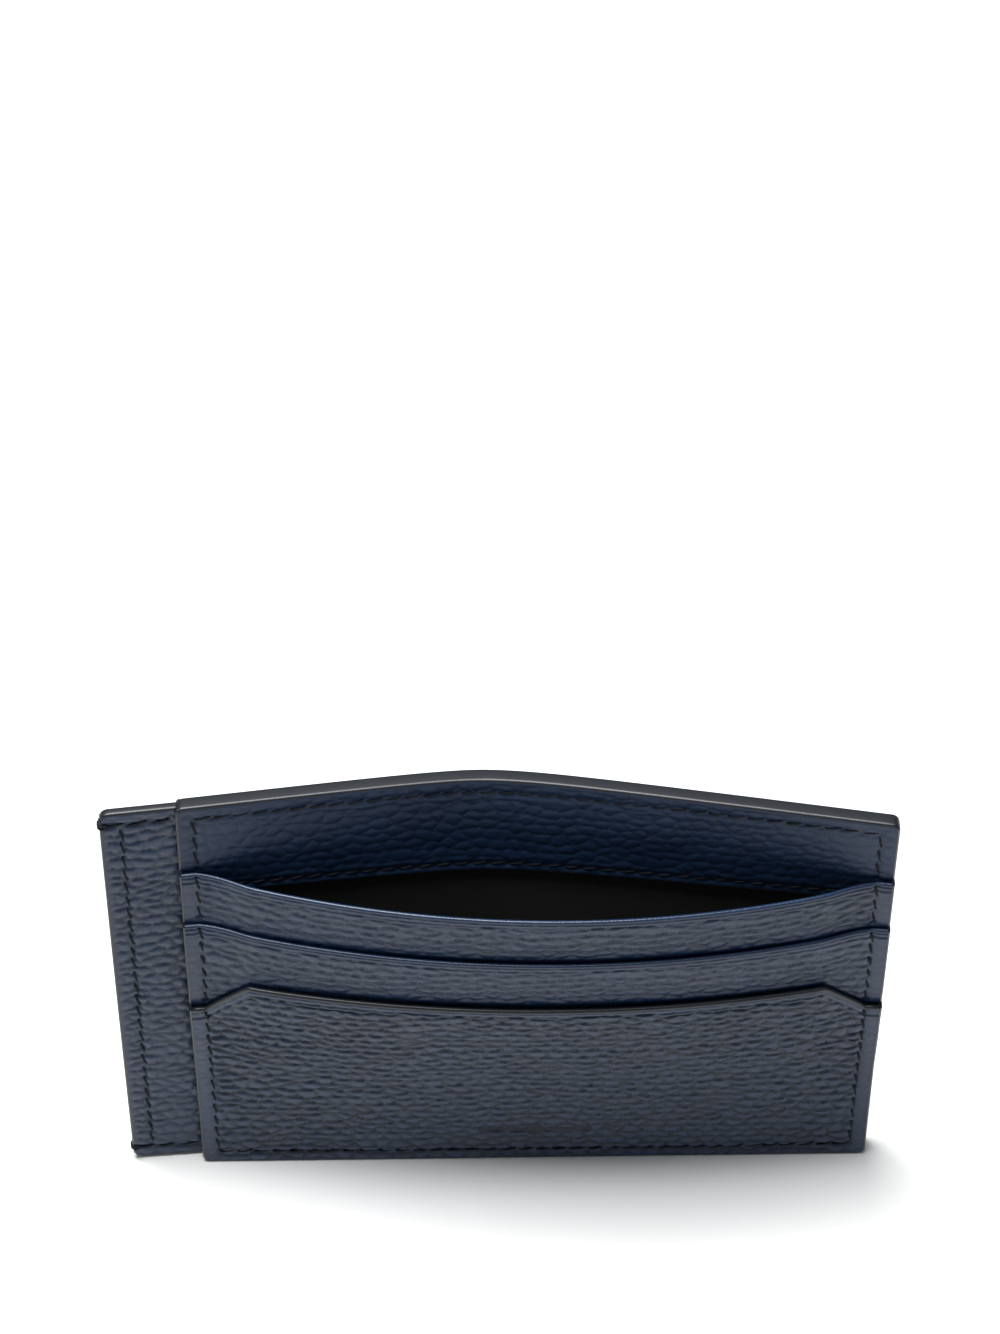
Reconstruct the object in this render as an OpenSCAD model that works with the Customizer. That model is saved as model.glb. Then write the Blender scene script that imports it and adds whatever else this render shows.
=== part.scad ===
// Slim card holder that stands on its bottom edge with its front towards -Y.
// The origin is the middle of the body's foot, on the plane where the front and
// back sections meet. +X is to the right and +Z is up. All sizes are millimetres.
//
// Every sheet is a thin ply laid on one of two bowed surfaces: the front stack
// bellies forward and the back section bows backward, so the main pocket gapes.

/* [Body] */
// Width of the sewn body, edge paint included
body_w = 100; // [80:1:150]
// Height of the body, edge paint included
body_h = 75; // [62:1:110]
// Radius of the body's corners
corner_r = 1.1; // [1:0.1:2.6]
// Distance of the side and bottom seams from the body's edge
seam_inset = 2.5; // [2.4:0.1:5]
// Distance of the top seam from the top edge
top_seam_inset = 2.3; // [1.5:0.1:4]

/* [Side pocket] */
// How far the side pocket's mouth strip stands out of the body's left edge
tab_w = 10.5; // [6:0.5:20]
// How much the strip is shorter than the body at its top and again at its bottom
tab_inset = 0.3; // [0.1:0.05:2]
// How far the strip is turned forward at its top, in degrees
tab_angle = 7; // [0:0.5:20]
// How far the strip is turned forward at its foot, in degrees
tab_foot_angle = 4; // [0:0.5:20]
// Distance of the strip's upright seam from the mouth
tab_seam_inset = 3; // [2:0.1:4.5]
// Radius of the strip's outer corners
tab_corner_r = 0.9; // [0.5:0.1:2]
// Clear gap inside the flat side pocket
side_gap = 0.1; // [0.05:0.05:1]

/* [Mouths] */
// Drop of the rear card slot's mouth below the body's top
slot_1_drop = 11.9; // [6:0.1:16]
// Drop of the front card slot's mouth below the rear one
slot_2_drop = 9.4; // [7:0.1:14]
// Drop of the front pocket's mouth below the front card slot's
pocket_drop = 10.3; // [7:0.1:16]
// Width and height of the cut corners of the front pocket
pocket_cut = 6.5; // [3:0.1:12]
// Depth of the turned-in hem along both card slots
hem_d = 6; // [2:0.5:8]
// How far each slot panel's leather reaches down behind the mouth in front of it
panel_lap = 14; // [10:1:20]
// Height of the leather facing inside the main pocket
facing_h = 17; // [12:0.5:24]
// Distance of the facing's lower seam from its lower edge
facing_seam_inset = 1.5; // [1:0.1:3]

/* [Thicknesses] */
// Leather of the front pocket
pocket_t = 0.8; // [0.5:0.05:1.5]
// Skived leather of the two slot panels
panel_t = 0.6; // [0.4:0.05:1]
// Leather of the inner facing
facing_t = 0.65; // [0.4:0.05:1.2]
// Leather of the back panel
back_t = 0.75; // [0.6:0.05:1.5]
// Leather of the side pocket's two mouth strips
strip_t = 0.5; // [0.4:0.05:1]
// Skived flange of a strip where it is sewn into the body
flange_t = 0.25; // [0.15:0.05:0.4]
// Lining and backing cloth
lining_t = 0.15; // [0.1:0.05:0.3]
// Stiffening board of the back section
board_t = 0.25; // [0.15:0.05:0.6]
// Edge paint
paint_t = 0.35; // [0.2:0.05:0.6]
// Gap left between neighbouring plies
glue_gap = 0.04; // [0.03:0.01:0.1]

/* [Bow] */
// How far the middle of the back section bows backward at the top
back_bow = 6.9; // [0:0.1:12]
// How soft the crest of the back section's bow is, as a share of its half width
crest_softness = 0.15; // [0.05:0.05:1]
// Sideways place of that crest
crest_x = -6.2; // [-15:0.1:15]
// How far the front stack bellies forward at the rear slot's mouth
front_bow = 7.8; // [2:0.1:12]
// Fullness of the belly: 2 is a parabola, and more is fuller
belly_fullness = 2; // [1.5:0.05:4]
// Extra forward gape of a mouth in front of the ply behind it
mouth_gape = 0.3; // [0:0.05:1.5]
// How far the two top corners are twisted apart
top_twist = 2.3; // [0:0.1:4]

/* [Thread] */
// Distance from one stitch to the next
stitch_pitch = 2.6; // [1.6:0.1:4]
// Length of one stitch
stitch_l = 1.9; // [1:0.1:3]
// Width of the thread
thread_w = 0.4; // [0.2:0.05:0.8]
// Height of the thread above the leather
thread_t = 0.22; // [0.1:0.02:0.4]
// Clearance between the thread and the leather's face
thread_clear = 0.08; // [0.02:0.01:0.2]
// Slant of one stitch against its seam, in degrees
stitch_slant = 12; // [0:1:30]
// How far a strip's skived flange reaches past the side seam
flange_lap = 2.9; // [1:0.1:5]

/* [Hidden] */

leather = "#2b3344";
facing_blue = "#1f2c49";
cloth = "#141416";
board = "#6d675c";
edge_grey = "#3c3a3e";
thread = "#10141f";

// Heights of the mouths above the foot
slot_1_h = body_h - slot_1_drop;
slot_2_h = slot_1_h - slot_2_drop;
pocket_h = slot_2_h - pocket_drop;

// Outline of the plies inside the edge paint
edge_x = body_w / 2 - paint_t;
ply_low = paint_t;
ply_top = body_h - paint_t;
ply_r = corner_r - paint_t;
seam_x = body_w / 2 - seam_inset;
tab_out_x = -(body_w / 2 + tab_w);
strip_x = tab_out_x + paint_t;
strip_low = tab_inset + paint_t;
strip_top = body_h - tab_inset - paint_t;
flange_x = -seam_x + flange_lap;
board_x = seam_x - flange_lap - 0.5;
facing_low = body_h - facing_h;
hem_gap = 0.1;
row_pitch = 8;
hold_w = 8;

// Rearward distances of the back section's plies from the meeting plane
lining_in = facing_t + glue_gap;
board_in = lining_in + lining_t + glue_gap;
pocket_front_in = board_in + max(board_t, flange_t) + glue_gap;
pocket_rear_in = pocket_front_in + lining_t + side_gap;
back_in = pocket_rear_in + lining_t + glue_gap;
least_back_t = 0.3;
back_out = back_in + max(back_t, flange_t + glue_gap + least_back_t);
strip_front_in = facing_t;
strip_rear_out = back_in + strip_t;

// Forward distances of the front stack's plies from the meeting plane
front_lining_in = glue_gap;
backing_1_in = front_lining_in + lining_t + glue_gap;
panel_1_in = backing_1_in + lining_t + glue_gap;
panel_1_low = slot_2_h - panel_lap;
panel_2_low = pocket_h - panel_lap;
function row_below(z) = floor(z / row_pitch) * row_pitch;

// Columns and rows that every ply shares, so that neighbouring plies keep apart
corner_steps = [0, 30, 60, 90];
belly_shares = [0.77, 0.66, 0.53, 0.4, 0.27, 0.14];
side_cols = backward(sorted(concat(
    [for (a = corner_steps) edge_x - ply_r * (1 - cos(a))],
    [seam_x, seam_x - flange_lap, seam_x - pocket_cut],
    [for (s = belly_shares) seam_x * s]
)));
body_cols = concat([for (x = side_cols) -x], [0], backward(side_cols));
strip_cols = [strip_x, strip_x + tab_corner_r * 0.3, strip_x + tab_corner_r, strip_x + tab_seam_inset,
              (strip_x - edge_x) / 2, -edge_x - 0.3];

function clamp01(t) = min(1, max(0, t));
function ease(t) = clamp01(t) * clamp01(t) * (3 - 2 * clamp01(t));

// Surfaces: y of the meeting plane on the back section and on the front stack
function sway(x, z) = -top_twist * x / edge_x * pow(z / body_h, 2);
function reach(x) = x < crest_x ? (crest_x - x) / (crest_x + edge_x) : (x - crest_x) / (edge_x - crest_x);
function crest(u) =
    let (s = crest_softness)
    1 - (sqrt(u * u + s * s) - s) / (sqrt(1 + s * s) - s);
function strip_turn(z) = tan(tab_foot_angle) + (tan(tab_angle) - tan(tab_foot_angle)) * z / body_h;
function back_y(x, z) = x < -edge_x
    ? sway(-edge_x, z) + (x + edge_x) * strip_turn(z)
    : sway(x, z) + back_bow * crest(reach(x)) * z / body_h;
function belly(x) = 1 - pow(clamp01(abs(x) / seam_x), belly_fullness);
function hold(x) = ease((abs(x) - seam_x + hold_w) / hold_w);
// Below the facing the front stack closes up by the facing's thickness
function closing(z) = (facing_t - glue_gap) * (1 - clamp01(z / row_below(facing_low)));
function front_y(x, z) =
    sway(x, z) + hold(x) * (back_y(x, z) - sway(x, z)) - front_bow * belly(x) * z / slot_1_h + closing(z);
function gape(x, z, mouth) =
    let (start = row_below(mouth - panel_lap))
    mouth_gape * belly(x) * clamp01((z - start) / (mouth - start));

// Forward distances that grow where a slot panel's leather lies underneath
function over(z, low) = (panel_t + glue_gap) * clamp01((z - row_below(low)) / row_pitch + 1);
function backing_2_in(z) = panel_1_in + over(z, panel_1_low);
function panel_2_in(z) = backing_2_in(z) + lining_t + glue_gap;
function pocket_lining_in(z) = panel_2_in(z) + over(z, panel_2_low);
function pocket_in(z) = pocket_lining_in(z) + lining_t + glue_gap;

// Upper and lower limits of the plies
function corner_rise(x) =
    let (d = abs(x) - edge_x + ply_r)
    d > 0 ? ply_r - sqrt(max(0, ply_r * ply_r - d * d)) : 0;
function body_low(x) = ply_low + corner_rise(x);
function body_top(x) = ply_top - corner_rise(x);
function strip_rise(x) =
    let (d = strip_x + tab_corner_r - x)
    d > 0 ? tab_corner_r - sqrt(max(0, tab_corner_r * tab_corner_r - d * d)) : 0;
function side_low(x) = x < 0 ? strip_low + strip_rise(x) : max(strip_low, body_low(x));
function side_top(x) = x < 0 ? strip_top - strip_rise(x) : min(strip_top, body_top(x));
function pocket_mouth(x) =
    pocket_h - paint_t - pocket_cut * clamp01((abs(x) - seam_x + pocket_cut) / pocket_cut);

// The shared rows between two heights, with any extra ones
function rows(low, top, extra) =
    sorted(concat([for (z = [row_pitch:row_pitch:body_h]) if (z > low + 1 && z < top - 1) z], extra));
// One column's rows: the shared ones, squeezed just inside the column's own ends where they pass them
function column(low, top, inner) =
    let (n = len(inner), squeeze = 0.05)
    concat(
        [low],
        [for (j = [0:1:n - 1]) min(max(inner[j], low + squeeze * (j + 1)), top - squeeze * (n - j))],
        [top]
    );
function sorted(v) = len(v) < 2 ? v :
    let (p = v[floor(len(v) / 2)])
    concat(sorted([for (a = v) if (a < p) a]), [p], sorted([for (a = v) if (a > p) a]));

// One thin ply: cols are its x stations, low(x) and top(x) its limits,
// front(x, z) and rear(x, z) the y of its two faces
module ply(cols, low, top, front, rear, extra = []) {
    inner = rows(min([for (x = cols) low(x)]), max([for (x = cols) top(x)]), extra);
    zs = [for (x = cols) column(low(x), top(x), inner)];
    n = len(cols);
    m = len(inner) + 2;
    points = concat(
        [for (i = [0:n - 1]) for (z = zs[i]) [cols[i], front(cols[i], z), z]],
        [for (i = [0:n - 1]) for (z = zs[i]) [cols[i], rear(cols[i], z), z]]
    );
    k = n * m;
    faces = concat(
        [for (i = [0:n - 2]) for (j = [0:m - 2]) [i * m + j, i * m + j + 1, (i + 1) * m + j + 1]],
        [for (i = [0:n - 2]) for (j = [0:m - 2]) [i * m + j, (i + 1) * m + j + 1, (i + 1) * m + j]],
        [for (i = [0:n - 2]) for (j = [0:m - 2])
            [k + i * m + j, k + (i + 1) * m + j + 1, k + i * m + j + 1]],
        [for (i = [0:n - 2]) for (j = [0:m - 2])
            [k + i * m + j, k + (i + 1) * m + j, k + (i + 1) * m + j + 1]],
        [for (i = [0:n - 2]) for (t = strip_faces(i * m, (i + 1) * m, k)) t],
        [for (i = [0:n - 2]) for (t = strip_faces((i + 1) * m + m - 1, i * m + m - 1, k)) t],
        [for (j = [0:m - 2]) for (t = strip_faces(j + 1, j, k)) t],
        [for (j = [0:m - 2]) for (t = strip_faces((n - 1) * m + j, (n - 1) * m + j + 1, k)) t]
    );
    polyhedron(points, faces);
}

// Two triangles that close the ply's rim between rim points a and b
function strip_faces(a, b, k) = [[a, b, b + k], [a, b + k, a + k]];

// Edge paint along an outline: stations are [x, z, outward x, outward z, front y, rear y]
module edge_bead(stations) {
    n = len(stations);
    dome = [[0, 0], [0.7, 0.14], [1, 0.5], [0.7, 0.86], [0, 1]];
    points = [for (s = stations) for (d = dome) [
        s[0] + s[2] * d[0] * paint_t,
        s[4] + (s[5] - s[4]) * d[1],
        s[1] + s[3] * d[0] * paint_t
    ]];
    faces = concat(
        [[for (j = [4:-1:0]) j]],
        [[for (j = [0:4]) (n - 1) * 5 + j]],
        [for (i = [0:n - 2]) for (j = [0:4])
            let (q = (j + 1) % 5)
            [i * 5 + j, i * 5 + q, (i + 1) * 5 + j]],
        [for (i = [0:n - 2]) for (j = [0:4])
            let (q = (j + 1) % 5)
            [i * 5 + q, (i + 1) * 5 + q, (i + 1) * 5 + j]]
    );
    polyhedron(points, faces);
}

// Stations round one side of the body with its two corners: down the right side, or up the left one
function side_stations(side, front, rear) =
    let (levels = side > 0 ? backward(step_levels) : step_levels)
    concat(
        [for (a = [90, 60, 30, 0]) corner_station(side, a, side, front, rear)],
        [for (z = levels) side_station(side, z, front, rear)],
        [for (a = [0, 30, 60, 90]) corner_station(side, a, -side, front, rear)]
    );
function backward(v) = [for (i = [len(v) - 1:-1:0]) v[i]];
function corner_station(side, a, up, front, rear) =
    let (
        x = side * (edge_x - ply_r + ply_r * cos(a)),
        z = (up > 0 ? ply_top - ply_r : ply_low + ply_r) + up * ply_r * sin(a)
    )
    [x, z, side * cos(a), up * sin(a), front(x, z), rear(x, z)];
function side_station(side, z, front, rear) =
    [side * edge_x, z, side, 0, front(side * edge_x, z), rear(side * edge_x, z)];

// Front face of whatever ply lies foremost at height z in the side seams
function stack_front(x, z) =
    z > slot_1_h ? back_y(x, z)
    : z > slot_2_h ? front_y(x, z) - panel_1_in - panel_t
    : z > pocket_mouth(x) + paint_t ? front_y(x, z) - panel_2_in(z) - panel_t
    : front_y(x, z) - pocket_in(z) - pocket_t;
function back_rear(x, z) = back_y(x, z) + back_out;
step_levels = sorted(concat(
    [for (z = [row_pitch:row_pitch:body_h - row_pitch]) z],
    [for (z = [slot_1_h, slot_2_h, pocket_mouth(edge_x) + paint_t]) for (d = [-0.05, 0.05]) z + d]
));

// One stitch lying on the face front(x, z); side is -1 on a front face and 1 on a rear face
module stitch(x, z, along, face, side) {
    step = 0.5;
    lean_x = atan((face(x + step, z) - face(x - step, z)) / (2 * step));
    lean_z = atan((face(x, z + step) - face(x, z - step)) / (2 * step));
    translate([x, face(x, z) + side * (thread_t / 2 + thread_clear), z])
        rotate([-lean_z, 0, lean_x])
            rotate([0, along + stitch_slant, 0])
                cube([stitch_l, thread_t, thread_w], center = true);
}

// A straight row of stitches between two points of the x-z plane
module stitch_row(from, to, face, side) {
    run = to - from;
    count = floor(norm(run) / stitch_pitch);
    along = -atan2(run[1], run[0]);
    for (i = [0:count - 1]) {
        place = from + run * (i + 0.5) / count;
        stitch(place[0], place[1], along, face, side);
    }
}

front_face = function (x, z) stack_front(x, z);
rear_face = function (x, z) back_rear(x, z);
strip_front = function (x, z) back_y(x, z) + strip_front_in;
strip_rear = function (x, z) back_y(x, z) + strip_rear_out;
facing_front = function (x, z) back_y(x, z);
lining_rear = function (x, z) back_y(x, z) + lining_in + lining_t;

module back_panel() {
    color(leather)
        ply(body_cols, function (x) body_low(x), function (x) body_top(x),
            function (x, z) back_y(x, z) + (x < flange_x + 0.01 ? back_in + flange_t + glue_gap : back_in),
            rear_face);
}

module back_stiffener() {
    cols = concat([-board_x], [for (x = body_cols) if (abs(x) < board_x - 0.5) x], [board_x]);
    color(board)
        ply(cols, function (x) ply_low + seam_inset + 1, function (x) ply_top - top_seam_inset - 1,
            function (x, z) back_y(x, z) + board_in,
            function (x, z) back_y(x, z) + board_in + board_t);
}

module back_lining() {
    color(cloth)
        ply(body_cols, function (x) body_low(x), function (x) facing_low + facing_seam_inset + 2.5,
            function (x, z) back_y(x, z) + lining_in,
            lining_rear);
}

module inner_facing() {
    color(facing_blue)
        ply(body_cols, function (x) facing_low, function (x) body_top(x),
            facing_front,
            function (x, z) back_y(x, z) + facing_t);
}

module side_pocket_ply(front_in, rear_in) {
    ply(concat(strip_cols, body_cols), function (x) side_low(x), function (x) side_top(x),
        function (x, z) back_y(x, z) + front_in,
        function (x, z) back_y(x, z) + rear_in);
}

module side_pocket_rear_lining() {
    color(cloth)
        side_pocket_ply(pocket_rear_in, pocket_rear_in + lining_t);
}

module side_pocket_front_lining() {
    color(cloth)
        side_pocket_ply(pocket_front_in, pocket_front_in + lining_t);
}

// A strip keeps its full thickness outside the body and is skived to a flange inside it
flange_cols = concat(strip_cols, [-edge_x, -edge_x + ply_r, flange_x]);

module tab_rear_leather() {
    color(leather)
        ply(flange_cols, function (x) side_low(x), function (x) side_top(x),
            function (x, z) back_y(x, z) + back_in,
            function (x, z) back_y(x, z) + (x < -edge_x - 0.1 ? strip_rear_out : back_in + flange_t));
}

module tab_front_leather() {
    color(leather)
        ply(flange_cols, function (x) side_low(x), function (x) side_top(x),
            function (x, z) back_y(x, z)
                + (x < -edge_x - 0.1 ? strip_front_in : pocket_front_in - glue_gap - flange_t),
            function (x, z) back_y(x, z) + pocket_front_in - glue_gap);
}

module front_lining() {
    color(cloth)
        ply(body_cols, function (x) body_low(x), function (x) slot_1_h - 0.8,
            function (x, z) front_y(x, z) - front_lining_in - lining_t,
            function (x, z) front_y(x, z) - front_lining_in);
}

module slot_1_backing() {
    color(cloth)
        ply(body_cols, function (x) body_low(x), function (x) slot_1_h - hem_d - hem_gap,
            function (x, z) front_y(x, z) - backing_1_in - lining_t,
            function (x, z) front_y(x, z) - backing_1_in);
}

module slot_1_panel() {
    hem_low = slot_1_h - hem_d;
    color(leather)
        ply(body_cols, function (x) panel_1_low, function (x) slot_1_h,
            function (x, z) front_y(x, z) - panel_1_in - panel_t,
            function (x, z) front_y(x, z) - (z > hem_low - 0.01 ? backing_1_in : panel_1_in),
            [hem_low - 0.05, hem_low]);
}

module slot_2_backing() {
    color(cloth)
        ply(body_cols, function (x) body_low(x), function (x) slot_2_h - hem_d - hem_gap,
            function (x, z) front_y(x, z) - backing_2_in(z) - lining_t - gape(x, z, slot_2_h),
            function (x, z) front_y(x, z) - backing_2_in(z) - gape(x, z, slot_2_h));
}

module slot_2_panel() {
    hem_low = slot_2_h - hem_d;
    color(leather)
        ply(body_cols, function (x) panel_2_low, function (x) slot_2_h,
            function (x, z) front_y(x, z) - panel_2_in(z) - panel_t - gape(x, z, slot_2_h),
            function (x, z) front_y(x, z) - gape(x, z, slot_2_h)
                - (z > hem_low - 0.01 ? backing_2_in(z) : panel_2_in(z)),
            [hem_low - 0.05, hem_low]);
}

module front_pocket_lining() {
    color(cloth)
        ply(body_cols, function (x) body_low(x), function (x) pocket_mouth(x) - 0.5,
            function (x, z) front_y(x, z) - pocket_lining_in(z) - lining_t - gape(x, z, pocket_h),
            function (x, z) front_y(x, z) - pocket_lining_in(z) - gape(x, z, pocket_h));
}

pocket_front_y = function (x, z) front_y(x, z) - pocket_in(z) - pocket_t - gape(x, z, pocket_h);
pocket_rear_y = function (x, z) front_y(x, z) - pocket_in(z) - gape(x, z, pocket_h);

module front_pocket() {
    color(leather)
        ply(body_cols, function (x) body_low(x), function (x) pocket_mouth(x),
            pocket_front_y, pocket_rear_y);
}

module top_edge_paint() {
    color(edge_grey)
        edge_bead([for (x = body_cols) if (abs(x) < edge_x - ply_r + 0.01)
            [x, ply_top, 0, 1, back_y(x, ply_top), back_rear(x, ply_top)]]);
}

// The foot: a bar with a true flat underside and bevelled long edges
module bottom_edge_paint() {
    bevel = 0.3 * paint_t;
    y_front = stack_front(0, ply_low);
    y_rear = back_rear(0, ply_low);
    profile = [
        [y_front, ply_low], [y_front, bevel], [y_front + bevel, 0],
        [y_rear - bevel, 0], [y_rear, bevel], [y_rear, ply_low]
    ];
    color(edge_grey)
        translate([-(edge_x - ply_r), 0, 0])
            rotate([90, 0, 90])
                linear_extrude(height = 2 * (edge_x - ply_r))
                    polygon(profile);
}

// The strip passes through the left edge, so the paint there is one bead in front of it and one behind
module left_edge_paint() {
    color(edge_grey) {
        edge_bead(side_stations(-1, front_face, function (x, z) back_y(x, z) + strip_front_in - glue_gap));
        edge_bead(side_stations(-1, function (x, z) back_y(x, z) + strip_rear_out + glue_gap, rear_face));
    }
}

module right_edge_paint() {
    color(edge_grey)
        edge_bead(side_stations(1, front_face, rear_face));
}

// Mouth paint of one strip: out along its bottom, up its outer edge and back along its top
function strip_stations(front, rear) =
    let (
        inner = -edge_x - 0.5,
        middle = (strip_x - edge_x) / 2,
        turn = strip_x + tab_corner_r,
        low = [for (x = [inner, middle, turn]) [x, strip_low, 0, -1]],
        outer = concat(
            [[strip_cols[1], side_low(strip_cols[1]), -cos(45), -cos(45)]],
            [[strip_x, strip_low + tab_corner_r, -1, 0]],
            [for (z = [row_pitch:row_pitch:strip_top - 2]) [strip_x, z, -1, 0]],
            [[strip_x, strip_top - tab_corner_r, -1, 0]],
            [[strip_cols[1], side_top(strip_cols[1]), -cos(45), cos(45)]]
        ),
        top = [for (x = [turn, middle, inner]) [x, strip_top, 0, 1]]
    )
    [for (s = concat(low, outer, top)) [s[0], s[1], s[2], s[3], front(s[0], s[1]), rear(s[0], s[1])]];

module tab_edge_paint() {
    color(edge_grey) {
        edge_bead(strip_stations(strip_front, function (x, z) back_y(x, z) + pocket_front_in + lining_t));
        edge_bead(strip_stations(function (x, z) back_y(x, z) + pocket_rear_in, strip_rear));
    }
}

// Paint along the front pocket's mouth, over its cut corners
module pocket_edge_paint() {
    cut = cos(45);
    turn = [tan(22.5), 1];
    function outward(x) =
        let (d = abs(x) - seam_x + pocket_cut, side = sign(x))
        abs(d) < 0.01 || abs(d - pocket_cut) < 0.01 ? [side * turn[0], turn[1]]
        : d > 0 && d < pocket_cut ? [side * cut, cut] : [0, 1];
    color(edge_grey)
        edge_bead([for (x = body_cols)
            let (z = pocket_mouth(x), n = outward(x))
            [x, z, n[0], n[1], pocket_front_y(x, z), pocket_rear_y(x, z)]]);
}

seam_top_z = body_h - top_seam_inset;
seam_low_z = seam_inset;

module top_seam_thread() {
    color(thread) {
        stitch_row([-seam_x, seam_top_z], [seam_x, seam_top_z], facing_front, -1);
        stitch_row([-seam_x, seam_top_z], [seam_x, seam_top_z], rear_face, 1);
    }
}

// A side seam changes ply at every mouth, so its front row is sewn in four runs
module side_seam_thread(side) {
    x = side * seam_x;
    skip = 0.6;
    mouth = pocket_mouth(seam_x) + paint_t;
    color(thread) {
        stitch_row([x, seam_top_z - skip], [x, slot_1_h + skip], front_face, -1);
        stitch_row([x, slot_1_h - skip], [x, slot_2_h + skip], front_face, -1);
        stitch_row([x, slot_2_h - skip], [x, mouth + skip], front_face, -1);
        stitch_row([x, mouth - skip], [x, seam_low_z + skip], front_face, -1);
        stitch_row([x, seam_top_z - skip], [x, seam_low_z + skip], rear_face, 1);
    }
}

module left_seam_thread() side_seam_thread(-1);

module right_seam_thread() side_seam_thread(1);

module bottom_seam_thread() {
    color(thread) {
        stitch_row([-seam_x, seam_low_z], [seam_x, seam_low_z], front_face, -1);
        stitch_row([-seam_x, seam_low_z], [seam_x, seam_low_z], rear_face, 1);
    }
}

module facing_seam_thread() {
    z = facing_low + facing_seam_inset;
    color(thread)
        stitch_row([-seam_x + 2, z], [seam_x - 2, z], facing_front, -1);
}

tab_seam_x = tab_out_x + tab_seam_inset;
tab_seam_top = body_h - tab_inset - top_seam_inset;
tab_seam_low = tab_inset + top_seam_inset;

// Top and bottom seams of the strip, sewn through both leathers
module tab_seam_thread() {
    color(thread)
        for (z = [tab_seam_top, tab_seam_low]) {
            stitch_row([tab_out_x + 0.6, z], [-body_w / 2 - 0.6, z], strip_front, -1);
            stitch_row([tab_out_x + 0.6, z], [-body_w / 2 - 0.6, z], strip_rear, 1);
        }
}

// Upright seam beside the mouth, through the front strip on one side and the rear strip on the other
module tab_mouth_thread() {
    skip = 0.8;
    color(thread) {
        stitch_row([tab_seam_x, tab_seam_top - skip], [tab_seam_x, tab_seam_low + skip], strip_front, -1);
        stitch_row([tab_seam_x, tab_seam_top - skip], [tab_seam_x, tab_seam_low + skip], strip_rear, 1);
    }
}

// Thread taken round the strip's outer edge at the end of its top and bottom seams
module corner_wrap_thread() {
    clear = 0.05;
    leg = 0.5;
    color(thread)
        for (z = [tab_seam_top, tab_seam_low]) {
            y_front = strip_front(tab_out_x, z) - clear;
            y_rear = strip_rear(tab_out_x + leg, z) + clear;
            translate([tab_out_x - clear - thread_t, y_front - thread_t, z - thread_w / 2])
                difference() {
                    cube([leg + clear + thread_t, y_rear - y_front + 2 * thread_t, thread_w]);
                    translate([thread_t, thread_t, -thread_w])
                        cube([leg + clear + thread_t, y_rear - y_front, 3 * thread_w]);
                }
        }
}

back_panel();
back_stiffener();
back_lining();
inner_facing();
side_pocket_rear_lining();
side_pocket_front_lining();
tab_rear_leather();
tab_front_leather();
front_lining();
slot_1_backing();
slot_1_panel();
slot_2_backing();
slot_2_panel();
front_pocket_lining();
front_pocket();
top_edge_paint();
bottom_edge_paint();
left_edge_paint();
right_edge_paint();
tab_edge_paint();
pocket_edge_paint();
top_seam_thread();
left_seam_thread();
right_seam_thread();
bottom_seam_thread();
facing_seam_thread();
tab_seam_thread();
tab_mouth_thread();
corner_wrap_thread();
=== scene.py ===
"""Card holder in pebbled calf leather: its visible pieces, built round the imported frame."""

import math

import bpy
import numpy as np
from bpy.props import FloatProperty, FloatVectorProperty, PointerProperty
from mathutils import Matrix, Vector


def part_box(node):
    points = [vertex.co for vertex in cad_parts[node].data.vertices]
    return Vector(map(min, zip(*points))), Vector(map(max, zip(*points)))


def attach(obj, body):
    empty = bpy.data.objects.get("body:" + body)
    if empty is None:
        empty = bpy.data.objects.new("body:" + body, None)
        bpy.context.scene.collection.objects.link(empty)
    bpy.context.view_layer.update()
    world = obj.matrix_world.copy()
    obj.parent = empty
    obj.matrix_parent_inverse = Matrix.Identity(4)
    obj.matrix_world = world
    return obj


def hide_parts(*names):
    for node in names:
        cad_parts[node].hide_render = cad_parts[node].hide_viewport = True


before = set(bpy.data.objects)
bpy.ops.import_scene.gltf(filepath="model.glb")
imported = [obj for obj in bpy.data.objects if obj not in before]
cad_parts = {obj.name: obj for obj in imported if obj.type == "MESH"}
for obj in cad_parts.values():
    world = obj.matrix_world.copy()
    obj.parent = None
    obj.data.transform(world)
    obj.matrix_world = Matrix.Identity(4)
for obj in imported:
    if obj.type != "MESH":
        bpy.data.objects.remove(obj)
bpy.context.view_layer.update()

bl_info = {
    "name": "Card Holder",
    "version": (1, 0, 0),
    "blender": (4, 5, 0),
    "location": "3D View > Sidebar > Card Holder",
    "description": "Builds a pebbled leather card holder with stepped slots and a side pocket",
    "category": "Object",
}

MM = 0.001  # every length below is in millimetres, and becomes metres where a mesh is made


def linear(hex_code):
    """An sRGB hex colour as linear red, green and blue."""
    out = []
    for i in (1, 3, 5):
        c = int(hex_code[i:i + 2], 16) / 255
        out.append(c / 12.92 if c <= 0.04045 else ((c + 0.055) / 1.055) ** 2.4)
    return tuple(out)


# ---------------------------------------------------------------- sizes from the frame

def low_mm(node, axis):
    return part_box(node)[0][axis] / MM


def high_mm(node, axis):
    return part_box(node)[1][axis] / MM


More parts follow.
